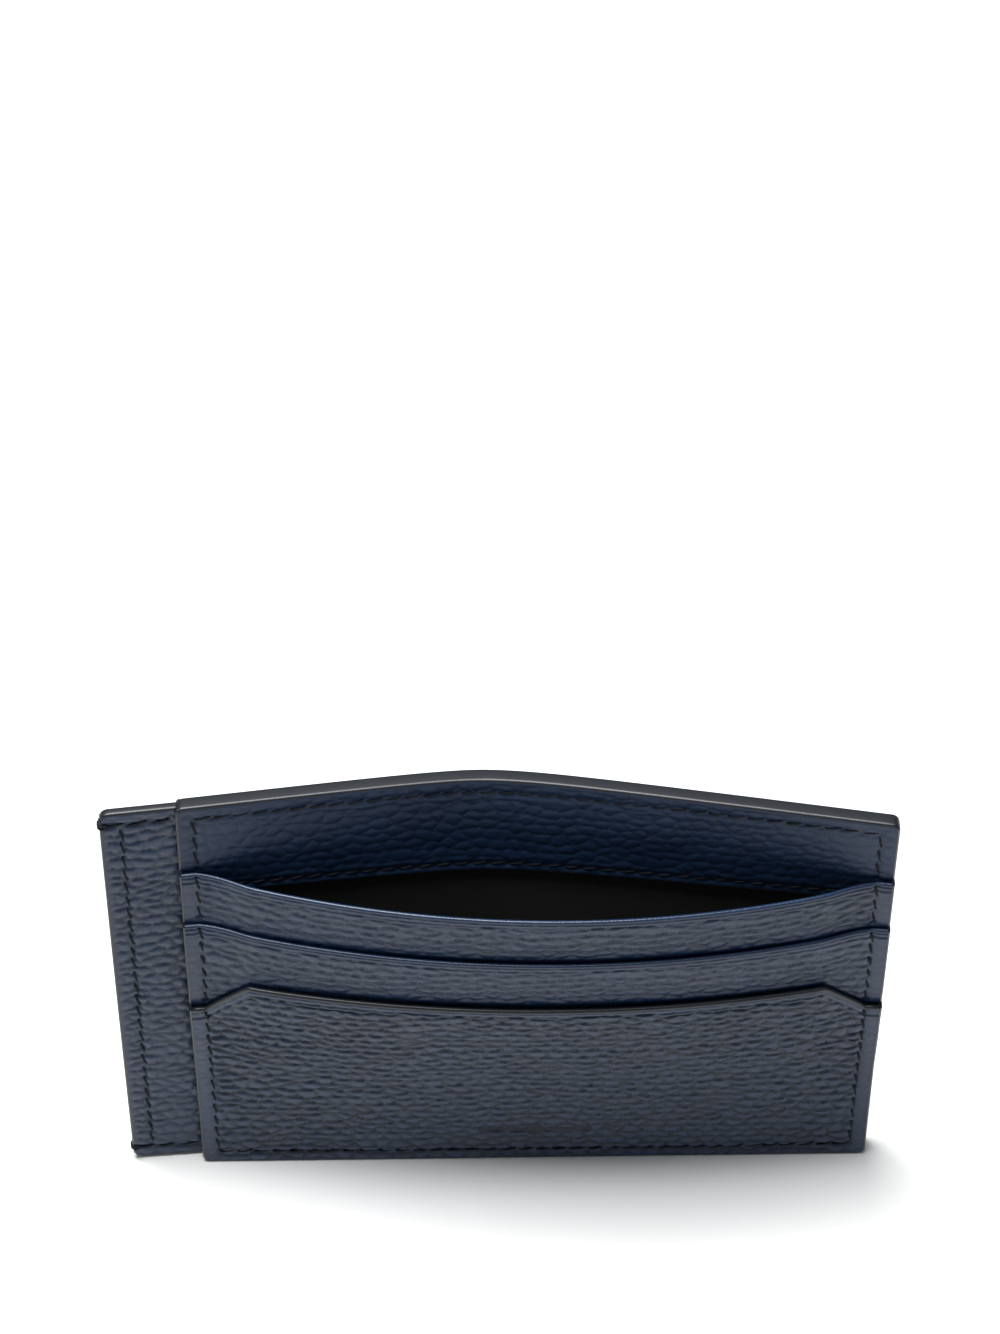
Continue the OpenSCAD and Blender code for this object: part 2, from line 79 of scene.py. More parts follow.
PAINT_T = high_mm("bottom_edge_paint", 2)
BODY_H = high_mm("top_edge_paint", 2)
EDGE_X = high_mm("back_panel", 0)
PLY_LOW = low_mm("back_panel", 2)
PLY_TOP = high_mm("back_panel", 2)
CORNER_R = EDGE_X - high_mm("bottom_edge_paint", 0)
SLOT_1_H = high_mm("slot_1_panel", 2)
SLOT_2_H = high_mm("slot_2_panel", 2)
POCKET_H = high_mm("front_pocket", 2)
POCKET_SIDE_H = low_mm("pocket_edge_paint", 2)
PANEL_1_LOW = low_mm("slot_1_panel", 2)
PANEL_2_LOW = low_mm("slot_2_panel", 2)
FACING_LOW = low_mm("inner_facing", 2)
LINING_TOP = high_mm("back_lining", 2)
STRIP_X = low_mm("tab_front_leather", 0)
STRIP_LOW = low_mm("tab_front_leather", 2)
STRIP_TOP = high_mm("tab_front_leather", 2)
FLANGE_X = high_mm("tab_front_leather", 0)
BOARD_X = high_mm("back_stiffener", 0)
POCKET_CUT = POCKET_H - POCKET_SIDE_H
STRIP_R = 0.9  # corner radius of the strip

# Seams, at the distances from the edges that the frame's threads have
STITCH_HALF = 0.4  # half the height of a level row's slanted stitches
SEAM_X = (low_mm("right_seam_thread", 0) + high_mm("right_seam_thread", 0)) / 2
SEAM_TOP = high_mm("top_seam_thread", 2) - STITCH_HALF
SEAM_LOW = low_mm("bottom_seam_thread", 2) + STITCH_HALF
FACING_SEAM = (low_mm("facing_seam_thread", 2) + high_mm("facing_seam_thread", 2)) / 2
STRIP_SEAM_X = (low_mm("tab_mouth_thread", 0) + high_mm("tab_mouth_thread", 0)) / 2
STRIP_SEAM_TOP = high_mm("tab_seam_thread", 2) - STITCH_HALF
STRIP_SEAM_LOW = low_mm("tab_seam_thread", 2) + STITCH_HALF
FACING_SEAM_X = SEAM_X - 2
STRIP_SEAM_END = -EDGE_X - 0.8
MOUTH_SEAM = ((STRIP_SEAM_X, STRIP_SEAM_TOP - 0.8), (STRIP_SEAM_X, STRIP_SEAM_LOW + 0.8))

# Plies of the back section: distances behind the plane where it meets the front stack
FACING_T = 0.65
GLUE = 0.04
CLOTH_T = 0.15
BACK_LINING_IN = FACING_T + GLUE
BOARD_IN = BACK_LINING_IN + CLOTH_T + GLUE
BOARD_T = 0.25
SIDE_FRONT_IN = BOARD_IN + BOARD_T + GLUE
SIDE_REAR_IN = SIDE_FRONT_IN + CLOTH_T + 0.1
BACK_IN = SIDE_REAR_IN + CLOTH_T + GLUE
BACK_OUT = BACK_IN + 0.75
STRIP_OUT = BACK_IN + 0.5
FLANGE_T = 0.25

# Plies of the front stack: distances in front of that plane
PANEL_T = 0.6
POCKET_T = 0.8
FRONT_LINING_IN = GLUE
BACKING_1_IN = FRONT_LINING_IN + CLOTH_T + GLUE
PANEL_1_IN = BACKING_1_IN + CLOTH_T + GLUE
TURN_D = 6.0  # depth of the leather turned in at a slot's mouth
TURN_R = 0.42  # radius of that turned edge

# Lengths over which the front stack bends
SEAM_HOLD = 8  # beside a side seam, where it comes to lie on the back section
FACING_ROOM = 56  # from the foot up, where it makes room for the facing
GAPE_RUN = 14  # below a mouth, where that mouth stands off
STEP_RUN = 8  # below a panel's lower edge, where the plies in front climb over it

FINE = 0.3  # grid pitch of a visible pebbled face
PLAIN = 2.0  # grid pitch of a hidden face
SMOOTH = 1.0  # grid pitch of the linings and along painted edges


# ---------------------------------------------------------------- what a user would change

class HolderShape(bpy.types.PropertyGroup):
    """Bows, gapes and twist of the soft leather"""
    back_bow: FloatProperty(
        name="Back bow", description="How far the back section's top bows backward",
        default=6.9 * MM, min=0, max=0.012, unit="LENGTH", subtype="DISTANCE")
    crest_softness: FloatProperty(
        name="Crest softness", description="Roundness of the bow's crest, as a share of its half width",
        default=0.15, min=0.05, max=1, subtype="FACTOR")
    crest_x: FloatProperty(
        name="Crest place", description="Sideways place of the back bow's crest",
        default=-6.2 * MM, unit="LENGTH", subtype="DISTANCE")
    front_bow: FloatProperty(
        name="Front belly", description="How far the front stack bellies forward at the rear slot's mouth",
        default=7.8 * MM, min=0, max=0.012, unit="LENGTH", subtype="DISTANCE")
    fullness: FloatProperty(
        name="Belly fullness", description="2 is a parabola, and more is fuller", default=2, min=1.5, max=4)
    gape: FloatProperty(
        name="Mouth gape", description="How far each mouth stands off the ply behind it",
        default=0.3 * MM, min=0, max=0.0015, unit="LENGTH", subtype="DISTANCE")
    twist: FloatProperty(
        name="Top twist", description="How far the two top corners are twisted apart",
        default=2.3 * MM, min=0, max=0.004, unit="LENGTH", subtype="DISTANCE")
    strip_angle: FloatProperty(
        name="Strip angle", description="How far the top of the side pocket's strip is turned forward",
        default=math.radians(7), min=0, max=math.radians(20), unit="ROTATION", subtype="ANGLE")
    strip_foot_angle: FloatProperty(
        name="Strip foot angle", description="How far the strip's foot is turned forward",
        default=math.radians(4), min=0, max=math.radians(20), unit="ROTATION", subtype="ANGLE")


class HolderLeather(bpy.types.PropertyGroup):
    """Grain and colours of the leather, cloth, paint and thread"""
    pebble_w: FloatProperty(
        name="Pebble width", description="Width of one pebble of the front's grain",
        default=2.7 * MM, min=0.001, max=0.006, unit="LENGTH", subtype="DISTANCE")
    pebble_h: FloatProperty(
        name="Pebble height", description="Height of one pebble of the front's grain",
        default=1.7 * MM, min=0.0008, max=0.006, unit="LENGTH", subtype="DISTANCE")
    pebble_d: FloatProperty(
        name="Grain depth", description="Depth of the creases between pebbles",
        default=0.34 * MM, min=0, max=0.0004, unit="LENGTH", subtype="DISTANCE")
    leather: FloatVectorProperty(
        name="Leather", description="Colour of the dyed leather", subtype="COLOR", size=3,
        default=linear("#142843"))
    # Painted shade: this darker colour is painted deep in the leather's creases, where shade falls.
    crease_shade: FloatVectorProperty(
        name="Crease", description="Colour of the leather deep in its creases", subtype="COLOR", size=3,
        default=linear("#0a1524"))
    paint: FloatVectorProperty(
        name="Edge paint", description="Colour of the painted edges", subtype="COLOR", size=3,
        default=linear("#15181f"))
    thread: FloatVectorProperty(
        name="Thread", description="Colour of the waxed thread", subtype="COLOR", size=3,
        default=linear("#080c16"))
    cloth: FloatVectorProperty(
        name="Lining", description="Colour of the twill lining", subtype="COLOR", size=3,
        default=linear("#0d0d0e"))


class HolderThread(bpy.types.PropertyGroup):
    """Size of the stitches"""
    pitch: FloatProperty(
        name="Pitch", description="Distance from one needle hole to the next",
        default=2.6 * MM, min=0.001, max=0.005, unit="LENGTH", subtype="DISTANCE")
    thickness: FloatProperty(
        name="Thickness", description="Diameter of the thread",
        default=0.36 * MM, min=0.0002, max=0.001, unit="LENGTH", subtype="DISTANCE")
    slant: FloatProperty(
        name="Slant", description="Angle of one stitch against its seam",
        default=math.radians(12), unit="ROTATION", subtype="ANGLE")


def shape():
    return bpy.context.scene.holder_shape


def leather():
    return bpy.context.scene.holder_leather


def thread():
    return bpy.context.scene.holder_thread


# ---------------------------------------------------------------- surfaces

def clamp01(t):
    return np.clip(t, 0, 1)


def ease(t):
    t = clamp01(t)
    return t * t * (3 - 2 * t)


def sway(x, z):
    return -shape().twist / MM * x / EDGE_X * (z / BODY_H) ** 2


def back_y(x, z):
    """The meeting plane on the back section: a soft ridge on the body, and straight along the strip."""
    s = shape()
    soft, peak = s.crest_softness, s.crest_x / MM
    u = np.where(x < peak, (peak - x) / (peak + EDGE_X), (x - peak) / (EDGE_X - peak))
    crest = 1 - (np.sqrt(u * u + soft * soft) - soft) / (math.sqrt(1 + soft * soft) - soft)
    body = sway(x, z) + s.back_bow / MM * crest * z / BODY_H
    low_turn, top_turn = math.tan(s.strip_foot_angle), math.tan(s.strip_angle)
    strip = sway(-EDGE_X, z) + (x + EDGE_X) * (low_turn + (top_turn - low_turn) * z / BODY_H)
    return np.where(x < -EDGE_X, strip, body)


def belly(x):
    return 1 - clamp01(np.abs(x) / SEAM_X) ** shape().fullness


def front_y(x, z):
    """The meeting plane on the front stack: held to the back section in the seams, and full between them."""
    hold = ease((np.abs(x) - SEAM_X + SEAM_HOLD) / SEAM_HOLD)
    closing = (FACING_T - GLUE) * (1 - clamp01(z / FACING_ROOM))
    bow = shape().front_bow / MM * belly(x) * z / SLOT_1_H
    return sway(x, z) + hold * (back_y(x, z) - sway(x, z)) - bow + closing


def gape(x, z, mouth):
    return shape().gape / MM * belly(x) * ease((z - mouth + GAPE_RUN) / GAPE_RUN)


def over(z, low):
    return (PANEL_T + GLUE) * clamp01((z - low) / STEP_RUN + 1)


def backing_2_in(z):
    return PANEL_1_IN + over(z, PANEL_1_LOW)


def panel_2_in(z):
    return backing_2_in(z) + CLOTH_T + GLUE


def pocket_lining_in(z):
    return panel_2_in(z) + over(z, PANEL_2_LOW)


def pocket_in(z):
    return pocket_lining_in(z) + CLOTH_T + GLUE


def corner_rise(x):
    d = np.maximum(np.abs(x) - EDGE_X + CORNER_R, 0)
    return CORNER_R - np.sqrt(np.maximum(CORNER_R ** 2 - d * d, 0))


def body_low(x):
    return PLY_LOW + corner_rise(x)


def body_top(x):
    return PLY_TOP - corner_rise(x)


def pocket_mouth(x):
    return POCKET_H - POCKET_CUT * clamp01((np.abs(x) - SEAM_X + POCKET_CUT) / POCKET_CUT)


def strip_rise(x):
    d = np.clip(STRIP_X + STRIP_R - x, 0, STRIP_R)
    return STRIP_R - np.sqrt(STRIP_R ** 2 - d * d)


def side_low(x):
    return np.where(x < 0, STRIP_LOW + strip_rise(x), np.maximum(STRIP_LOW, body_low(x)))


def side_top(x):
    return np.where(x < 0, STRIP_TOP - strip_rise(x), np.minimum(STRIP_TOP, body_top(x)))


def stack_front(x, z):
    """Front face of the foremost ply at height z, as the side seams meet it."""
    mouth = pocket_mouth(x) + PAINT_T
    panel_1 = front_y(x, z) - PANEL_1_IN - PANEL_T
    panel_2 = front_y(x, z) - panel_2_in(z) - PANEL_T
    pocket = front_y(x, z) - pocket_in(z) - POCKET_T
    return np.select([z > SLOT_1_H, z > SLOT_2_H, z > mouth], [back_y(x, z), panel_1, panel_2], pocket)


def pocket_face(x, z, depth):
    """The front pocket's leather at a depth from its rear face."""
    return front_y(x, z) - pocket_in(z) - depth - gape(x, z, POCKET_H)


def behind(*distances):
    """A surface behind the meeting plane on the back section, by the sum of the distances."""
    return lambda x, z: sum(distances, back_y(x, z))


def level(height):
    """An outline at one height."""
    return lambda x: height + 0 * x


back_rear = behind(BACK_OUT)
strip_front = behind(FACING_T)
strip_rear = behind(STRIP_OUT)


# ---------------------------------------------------------------- grain and seam relief

def random_at(i, j, seed):
    """A repeatable number from 0 to 1 for each pair of whole numbers."""
    n = np.sin(i * 127.1 + j * 311.7 + seed * 74.7) * 43758.5453
    return n - np.floor(n)


def soft_noise(u, v, seed):
    """Smooth noise from -1 to 1, one bump per unit."""
    i, j = np.floor(u), np.floor(v)
    a, b = ease(u - i), ease(v - j)
    low = random_at(i, j, seed) * (1 - a) + random_at(i + 1, j, seed) * a
    high = random_at(i, j + 1, seed) * (1 - a) + random_at(i + 1, j + 1, seed) * a
    return (low * (1 - b) + high * b) * 2 - 1


def pebbles(x, z, width, height, seed):
    """Height from 0 in the creases to 1 on the pebbles of an embossed grain. Creases that run along the rows
    are deep, and those between neighbours in a row are shallow."""
    drift = 0.7 * soft_noise(x / 27, z / 43, seed + 3) + 0.25 * soft_noise(x / 11, z / 13, seed + 4)
    u = x / width + 0.2 * soft_noise(x / (width * 2.2), z / (height * 2.2), seed + 5)
    v = z / height + drift + 0.14 * soft_noise(x / (width * 1.3), z / (height * 2.4), seed + 9)
    row = np.floor(v)
    first = second = np.full(np.shape(u), np.inf)
    first_v = second_v = swell = np.zeros(np.shape(u))
    for dj in (-1, 0, 1):
        j = row + dj
        shift = 0.5 * np.mod(j, 2)
        col = np.floor(u - shift)
        for di in (-1, 0, 1):
            i = col + di
            px = i + shift + 0.5 + 0.66 * (random_at(i, j, seed) - 0.5)
            pz = j + 0.5 + 0.7 * (random_at(i, j, seed + 1) - 0.5)
            d = np.hypot(u - px, v - pz)
            nearer, next_one = d < first, (d >= first) & (d < second)
            second = np.where(nearer, first, np.where(next_one, d, second))
            second_v = np.where(nearer, first_v, np.where(next_one, pz, second_v))
            swell = np.where(nearer, random_at(i, j, seed + 2), swell)
            first, first_v = np.where(nearer, d, first), np.where(nearer, pz, first_v)
    along_row = clamp01(np.abs(second_v - first_v) * 1.4)
    side = 1 - clamp01((second - first) / 0.8)
    return (1 - side ** 2.2 * (0.6 + 0.4 * along_row)) * (0.85 + 0.15 * swell)


def seam_relief(x, z, seams):
    """The groove that a row of stitches pulls into the leather, deepest at its needle holes."""
    pitch = thread().pitch / MM
    out = np.zeros(np.shape(x))
    for (x0, z0), (x1, z1) in seams:
        run = math.hypot(x1 - x0, z1 - z0)
        along = ((x - x0) * (x1 - x0) + (z - z0) * (z1 - z0)) / run
        across = ((x - x0) * (z1 - z0) - (z - z0) * (x1 - x0)) / run
        step = run / max(1, math.floor(run / pitch))
        inside = ease((along + 0.6) / 0.6) * ease((run + 0.6 - along) / 0.6)
        holes = (0.5 + 0.5 * np.cos(2 * math.pi * along / step)) ** 3
        out += inside * (
            -0.12 * np.exp(-(across / 0.5) ** 2)
            - 0.17 * holes * np.exp(-(across / 0.36) ** 2)
            + 0.05 * (1 - 0.5 * holes) * np.exp(-((np.abs(across) - 1.0) / 0.45) ** 2)
        )
    return out


def crease_line(distance, place, width, depth):
    return -depth * np.exp(-((distance - place) / width) ** 2)


# ---------------------------------------------------------------- meshes

def new_piece(name, points, faces, node, material):
    """A mesh piece in metres that rides on the holder, stands for its CAD node and has its material. Only
    its quads are smooth-shaded, so end caps stay flat."""
    mesh = bpy.data.meshes.new(name)
    mesh.from_pydata((np.asarray(points) * MM).tolist(), [], faces)
    mesh.validate()
    mesh.materials.append(material)
    corners = np.empty(len(mesh.polygons), np.int32)
    mesh.polygons.foreach_get("loop_total", corners)
    mesh.polygons.foreach_set("use_smooth", corners == 4)
    obj = bpy.data.objects.new(name, mesh)
    bpy.context.scene.collection.objects.link(obj)
    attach(obj, "root")
    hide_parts(node)
    return obj


def spaced(low, high, pitch):
    return np.linspace(low, high, max(2, int(round((high - low) / pitch)) + 1))


def body_columns(pitch):
    """Columns over the body, with the rounded corners' own columns at both ends."""
    turn = CORNER_R * (1 - np.cos(np.radians([0, 18, 36, 54, 72])))
    middle = spaced(-EDGE_X + CORNER_R, EDGE_X - CORNER_R, pitch)
    return np.concatenate([-EDGE_X + turn, middle, (EDGE_X - turn)[::-1]])


def rows_to_mouth(low, top):
    """Rows from low to top that close up towards the top, so that its edge can be round."""
    close, closest = top - 2.4, top - 0.5
    lip = np.array([0.42, 0.34, 0.26, 0.19, 0.12, 0.07, 0.03, 0])
    return np.concatenate([spaced(low, close, FINE)[:-1], spaced(close, closest, 0.12), top - lip])


def net(xs, zs, low, top):
    """The grid of a ply: its rows follow the ply's lower and upper outline and straighten out between."""
    x = np.repeat(xs[:, None], len(zs), 1)
    rise_low = (low(xs) - zs[0])[:, None]
    rise_top = (zs[-1] - top(xs))[:, None]
    span = zs[-1] - zs[0]
    z = zs[None, :] + rise_low * (1 - ease((zs - zs[0]) / min(6, span / 2)))[None, :]
    z = z - rise_top * (1 - ease((zs[-1] - zs) / min(22, span * 0.7)))[None, :]
    return x, z


def few(n, keep_last=0):
    """Indices of the coarse lines of a hidden face: every eighth one, and all of the last few."""
    picked = set(range(0, n - keep_last, 8)) | set(range(n - 1 - keep_last, n))
    return sorted(picked | {0, n - 1})


def ply(name, xs, zs, low, top, front, rear, node, material, relief=None, fine="front", lip=0):
    """A closed leather or cloth ply. Its fine face carries the relief, and its other face has few lines.
    lip is the radius of a turned upper edge."""
    x, z = net(xs, zs, low, top)
    yf, yr = front(x, z), rear(x, z)
    grain = np.ones(x.shape)
    if lip:
        d = clamp01((top(xs)[:, None] - z) / lip)
        share = np.maximum(np.sqrt(1 - (1 - d) ** 2), 0.04)
        middle, half = (yf + yr) / 2, (yr - yf) / 2
        yf, yr = middle - half * share, middle + half * share
    if relief is not None:
        lift, grain = relief(x, z)
        if fine == "front":
            yf = yf - lift
        else:
            yr = yr + lift
    flip = fine != "front"
    y_fine, y_plain = (yr, yf) if flip else (yf, yr)
    nx, nz = x.shape
    points = np.stack([x, y_fine, z], -1).reshape(-1, 3)
    index = np.arange(nx * nz).reshape(nx, nz)
    plain = np.stack([x, y_plain, z], -1)
    rim = [(i, j) for i in range(nx) for j in range(nz) if i in (0, nx - 1) or j in (0, nz - 1)]
    cols, rows = few(nx), few(nz, 8 if lip else 0)
    inner = [(i, j) for i in cols[1:-1] for j in rows[1:-1]]
    far = {key: nx * nz + k for k, key in enumerate(rim + inner)}
    points = np.concatenate([points, np.array([plain[key] for key in rim + inner])])
    a, b, c, d = index[:-1, :-1], index[1:, :-1], index[1:, 1:], index[:-1, 1:]
    faces = np.stack([a, b, c, d], -1).reshape(-1, 4).tolist()
    for i0, i1 in zip(cols, cols[1:]):
        for j0, j1 in zip(rows, rows[1:]):
            loop = [(i, 0) for i in range(i0, i1)] if j0 == 0 else [(i0, j0)]
            loop += [(nx - 1, j) for j in range(j0, j1)] if i1 == nx - 1 else [(i1, j0)]
            loop += [(i, nz - 1) for i in range(i1, i0, -1)] if j1 == nz - 1 else [(i1, j1)]
            loop += [(0, j) for j in range(j1, j0, -1)] if i0 == 0 else [(i0, j1)]
            faces.append([far[key] for key in reversed(loop)])
    ring = [(i, 0) for i in range(nx - 1)] + [(nx - 1, j) for j in range(nz - 1)]
    ring += [(i, nz - 1) for i in range(nx - 1, 0, -1)] + [(0, j) for j in range(nz - 1, 0, -1)]
    for p, q in zip(ring, ring[1:] + ring[:1]):
        faces.append([index[q], index[p], far[p], far[q]])
    if flip:
        faces = [list(reversed(f)) for f in faces]
    obj = new_piece(name, points, faces, node, material)
    layer = obj.data.attributes.new("grain", "FLOAT", "POINT")
    values = np.ones(len(points), np.float32)
    values[:nx * nz] = grain.reshape(-1)
    layer.data.foreach_set("value", values)
    return obj


def skin(rings, around):
    """Faces over a sweep of closed rings of points, with a cap at each end."""
    faces = []
    for i in range(rings - 1):
        for j in range(around):
            k = (j + 1) % around
            faces.append([i * around + j, i * around + k, (i + 1) * around + k, (i + 1) * around + j])
    faces.append(list(range(around))[::-1])
    faces.append([(rings - 1) * around + j for j in range(around)])
    return faces


def bead(stations, wrap=0.05, proud=0.008):
    """Edge paint swept along an outline of stations: x, z, outward x, outward z, front y and rear y. It has
    a flat crown, bevelled shoulders and two thin skirts that lap onto the leather's faces."""
    s = np.asarray(stations, float)
    width = s[:, 5] - s[:, 4]
    shoulder = np.minimum(0.34, width * 0.3)
    half = [
        (-wrap, 0.03, 0), (-wrap * 0.85, -proud * 0.8, 0), (-wrap * 0.3, -proud, 0),
        (0.06, -proud * 0.8, 0.04),
        (PAINT_T * 0.55, 0, 0.26), (PAINT_T * 0.84, 0, 0.6), (PAINT_T * 0.96, 0, 1), (PAINT_T, 0, 1.5),
    ]
    rings = []
    for out, rise, inward in half:
        y = s[:, 4] + rise + np.minimum(inward * shoulder, width * 0.48)
        rings.append(np.stack([s[:, 0] + out * s[:, 2], y, s[:, 1] + out * s[:, 3]], -1))
    for out, rise, inward in reversed(half):
        y = s[:, 5] - rise - np.minimum(inward * shoulder, width * 0.48)
        rings.append(np.stack([s[:, 0] + out * s[:, 2], y, s[:, 1] + out * s[:, 3]], -1))
    points = np.stack(rings, 1)
    return points.reshape(-1, 3), skin(*points.shape[:2])


def joined(parts):
    """Several bodies of points and faces as one."""
    points, faces, base = [], [], 0
    for p, f in parts:
        points.append(np.asarray(p))
        faces += [[base + k for k in face] for face in f]
        base += len(p)
    return np.concatenate(points), faces


def tube(path, radius, squash=0.75):
    """A thread with closed ends along a path of points, squashed against the leather."""
    sides = 8
    path = np.asarray(path, float)
    n = len(path)
    ahead = np.gradient(path, axis=0)
    ahead /= np.linalg.norm(ahead, axis=1)[:, None]
    out = np.array([0.0, 1.0, 0.0]) - ahead * ahead[:, 1:2]
    short = np.linalg.norm(out, axis=1) < 0.2
    out[short] = np.array([1.0, 0.0, 0.0]) - ahead[short] * ahead[short, 0:1]
    out /= np.linalg.norm(out, axis=1)[:, None]
    side = np.cross(ahead, out)
    radius = np.broadcast_to(radius, (n,))[:, None, None]
    turn = np.linspace(0, 2 * math.pi, sides, endpoint=False)
    away, across = np.cos(turn)[None, :, None], np.sin(turn)[None, :, None]
    ring = squash * away * out[:, None, :] + across * side[:, None, :]
    points = path[:, None, :] + radius * ring
    return points.reshape(-1, 3), skin(n, sides)


def stitches(start, end, face, side):
    """A row of lock stitches from start to end on the surface face: side is -1 in front and 1 behind."""
    pitch, radius = thread().pitch / MM, thread().thickness / MM / 2
    run = np.array(end, float) - np.array(start, float)
    length = np.linalg.norm(run)
    count = max(1, int(length // pitch))
    step = length / count
    ahead = run / length
    angle = math.atan2(ahead[1], ahead[0]) + thread().slant
    along = np.array([math.cos(angle), math.sin(angle)])
    t = np.linspace(-1, 1, 9)
    parts = []
    for i in range(count):
        centre = np.array(start) + ahead * step * (i + 0.5)
        places = centre + np.outer(t * step * 0.47, along)
        rise = radius * 0.9 * (1 - np.abs(t) ** 2.6) - radius * np.abs(t) ** 6 - 0.25
        y = face(places[:, 0], places[:, 1]) + side * rise
        thick = radius * (1 - 0.35 * np.abs(t) ** 4)
        parts.append(tube(np.stack([places[:, 0], y, places[:, 1]], -1), thick))
    return joined(parts)


# ---------------------------------------------------------------- materials

def add(tree, kind, links=(), **settings):
    """Adds a node. settings go to its properties or, by name with _ for a space, its inputs; links are
    (output socket, input name or number) pairs into it."""
    node = tree.nodes.new(kind)
    for key, value in settings.items():
        if hasattr(node, key):
            setattr(node, key, value)
        else:
            node.inputs[int(key[1:]) if key[1:].isdigit() else key.replace("_", " ")].default_value = value
    for socket, name in links:
        tree.links.new(socket, node.inputs[name])
    return node


def material(name, **shader):
    """A named material with its Principled shader set, its node tree and that shader."""
    m = bpy.data.materials.new(name)
    m.use_nodes = True
    tree = m.node_tree
    principled = tree.nodes["Principled BSDF"]
    for key, value in shader.items():
        principled.inputs[key.replace("_", " ")].default_value = value
    return m, tree, principled


def texture(tree, kind, size, **settings):
    """Adds a noise or cell texture over the piece's own coordinates, one feature per size millimetres."""
    place = add(tree, "ShaderNodeTexCoord")
    return add(tree, kind, [(place.outputs["Object"], "Vector")], Scale=1 / (size * MM), **settings)


def blend(tree, factor, low, high):
    """Adds a mix of two colours and gives its colour."""
    node = add(tree, "ShaderNodeMix", [(factor, "Factor")], data_type="RGBA")
    node.inputs[6].default_value, node.inputs[7].default_value = [*low, 1], [*high, 1]
    return node.outputs[2]


def wire(tree, shader, **sockets):
    """Links each socket to the shader's input of its name, with _ for a space."""
    for key, socket in sockets.items():
        tree.links.new(socket, shader.inputs[key.replace("_", " ")])


def bump(tree, height, strength, depth, links=()):
    """Adds a bump of a depth in millimetres and gives its normal."""
    node = add(tree, "ShaderNodeBump", [(height, "Height"), *links], Strength=strength, Distance=depth * MM)
    return node.outputs[0]


WAVE_BANDS = 3.2  # bands that a wave texture draws per unit of its scale


def embossed_calf(name, crest_gloss, ior):
    """Calf leather, drum-dyed and embossed with a pebble grain, finished semi-matt: the crests catch a broad
    grey sheen, and the creases are dull and carry painted shade: their base colour darkens as the grain
    value falls."""
    m, tree, out = material(name, IOR=ior)
    grain = add(tree, "ShaderNodeAttribute", attribute_name="grain")
    depth = add(tree, "ShaderNodeMapRange", [(grain.outputs["Fac"], 0)], From_Min=0.1, From_Max=0.7)
    mottle = texture(tree, "ShaderNodeTexNoise", 9, Detail=3)
    pores = texture(tree, "ShaderNodeTexNoise", 0.42, Detail=4)
    cells = texture(tree, "ShaderNodeTexVoronoi", 0.55)
    worn = add(tree, "ShaderNodeMapRange", [(mottle.outputs["Fac"], 0)], From_Min=0.3, From_Max=0.7,
               To_Min=0.88, To_Max=1.12)
    # Painted shade: the base colour goes from the leather colour to the darker colour of the creases as the
    # grain value falls from 0.7 to 0.1.
    dyed = blend(tree, depth.outputs[0], leather().crease_shade, leather().leather)
    shade = add(tree, "ShaderNodeHueSaturation", [(dyed, "Color"), (worn.outputs[0], "Value")])
    dull = add(tree, "ShaderNodeMapRange", [(grain.outputs["Fac"], 0)], From_Max=1.3, To_Min=0.6,
               To_Max=crest_gloss)
    pitted = add(tree, "ShaderNodeMath", [(pores.outputs["Fac"], 0), (cells.outputs["Distance"], 1)],
                 operation="ADD")
    emboss = bump(tree, grain.outputs["Fac"], 0.6, 0.3)
    fine = bump(tree, pitted.outputs[0], 0.35, 0.05, [(emboss, "Normal")])
    wire(tree, out, Base_Color=shade.outputs[0], Roughness=dull.outputs[0], Normal=fine)
    return m


def edge_paint():
    """Acrylic edge paint, brushed on in coats and burnished: smooth, satin and faintly uneven."""
    m, tree, out = material("acrylic_edge_paint_burnished", Roughness=0.38, IOR=1.49)
    uneven = texture(tree, "ShaderNodeTexNoise", 1.6, Detail=3)
    tone = add(tree, "ShaderNodeMapRange", [(uneven.outputs["Fac"], 0)], To_Min=0.85, To_Max=1.15)
    shade = add(tree, "ShaderNodeHueSaturation", [(tone.outputs[0], "Value")], Color=[*leather().paint, 1])
    wire(tree, out, Base_Color=shade.outputs[0], Normal=bump(tree, uneven.outputs["Fac"], 0.25, 0.08))
    return m


def waxed_thread():
    """Bonded polyester thread, waxed: tight plies with a soft shine along their crests."""
    m, tree, out = material("waxed_polyester_thread", Roughness=0.85, IOR=1.4,
                            Base_Color=[*leather().thread, 1])
    plies = texture(tree, "ShaderNodeTexWave", 0.5 * WAVE_BANDS, Distortion=2, bands_direction="DIAGONAL")
    wire(tree, out, Normal=bump(tree, plies.outputs["Fac"], 0.5, 0.05))
    return m


def twill():
    """Viscose twill, woven two over two: fine slanting ribs with a faint sheen on a matt black cloth. Each
    rib's crown is painted lighter as a highlight and its hollow darker as shade. The ribs are drawn some 0.6
    mm wide, about twice their real width, so that they still show."""
    m, tree, out = material("viscose_twill_black", Roughness=0.75, IOR=1.46, Sheen_Weight=0.15,
                            Sheen_Roughness=0.4)
    place = add(tree, "ShaderNodeTexCoord")
    lay = add(tree, "ShaderNodeMapping", [(place.outputs["Object"], "Vector")],
              Rotation=(0, math.radians(28), 0))
    ribs = add(tree, "ShaderNodeTexWave", [(lay.outputs[0], "Vector")], Scale=1 / (0.62 * MM * WAVE_BANDS),
               Distortion=0.6, bands_direction="X")
    yarns = texture(tree, "ShaderNodeTexNoise", 0.35, Detail=2)
    tone = add(tree, "ShaderNodeMath", [(ribs.outputs["Fac"], 0), (yarns.outputs["Fac"], 1)],
               operation="MULTIPLY")
    # Painted highlight and painted shade: the ribs' crowns take 2.6 times the cloth colour and their hollows
    # half of it.
    hollow, crown = ([c * share for c in leather().cloth] for share in (0.5, 2.6))
    dyed = blend(tree, tone.outputs[0], hollow, crown)
    wire(tree, out, Base_Color=dyed, Normal=bump(tree, tone.outputs[0], 0.6, 0.08))
    return m


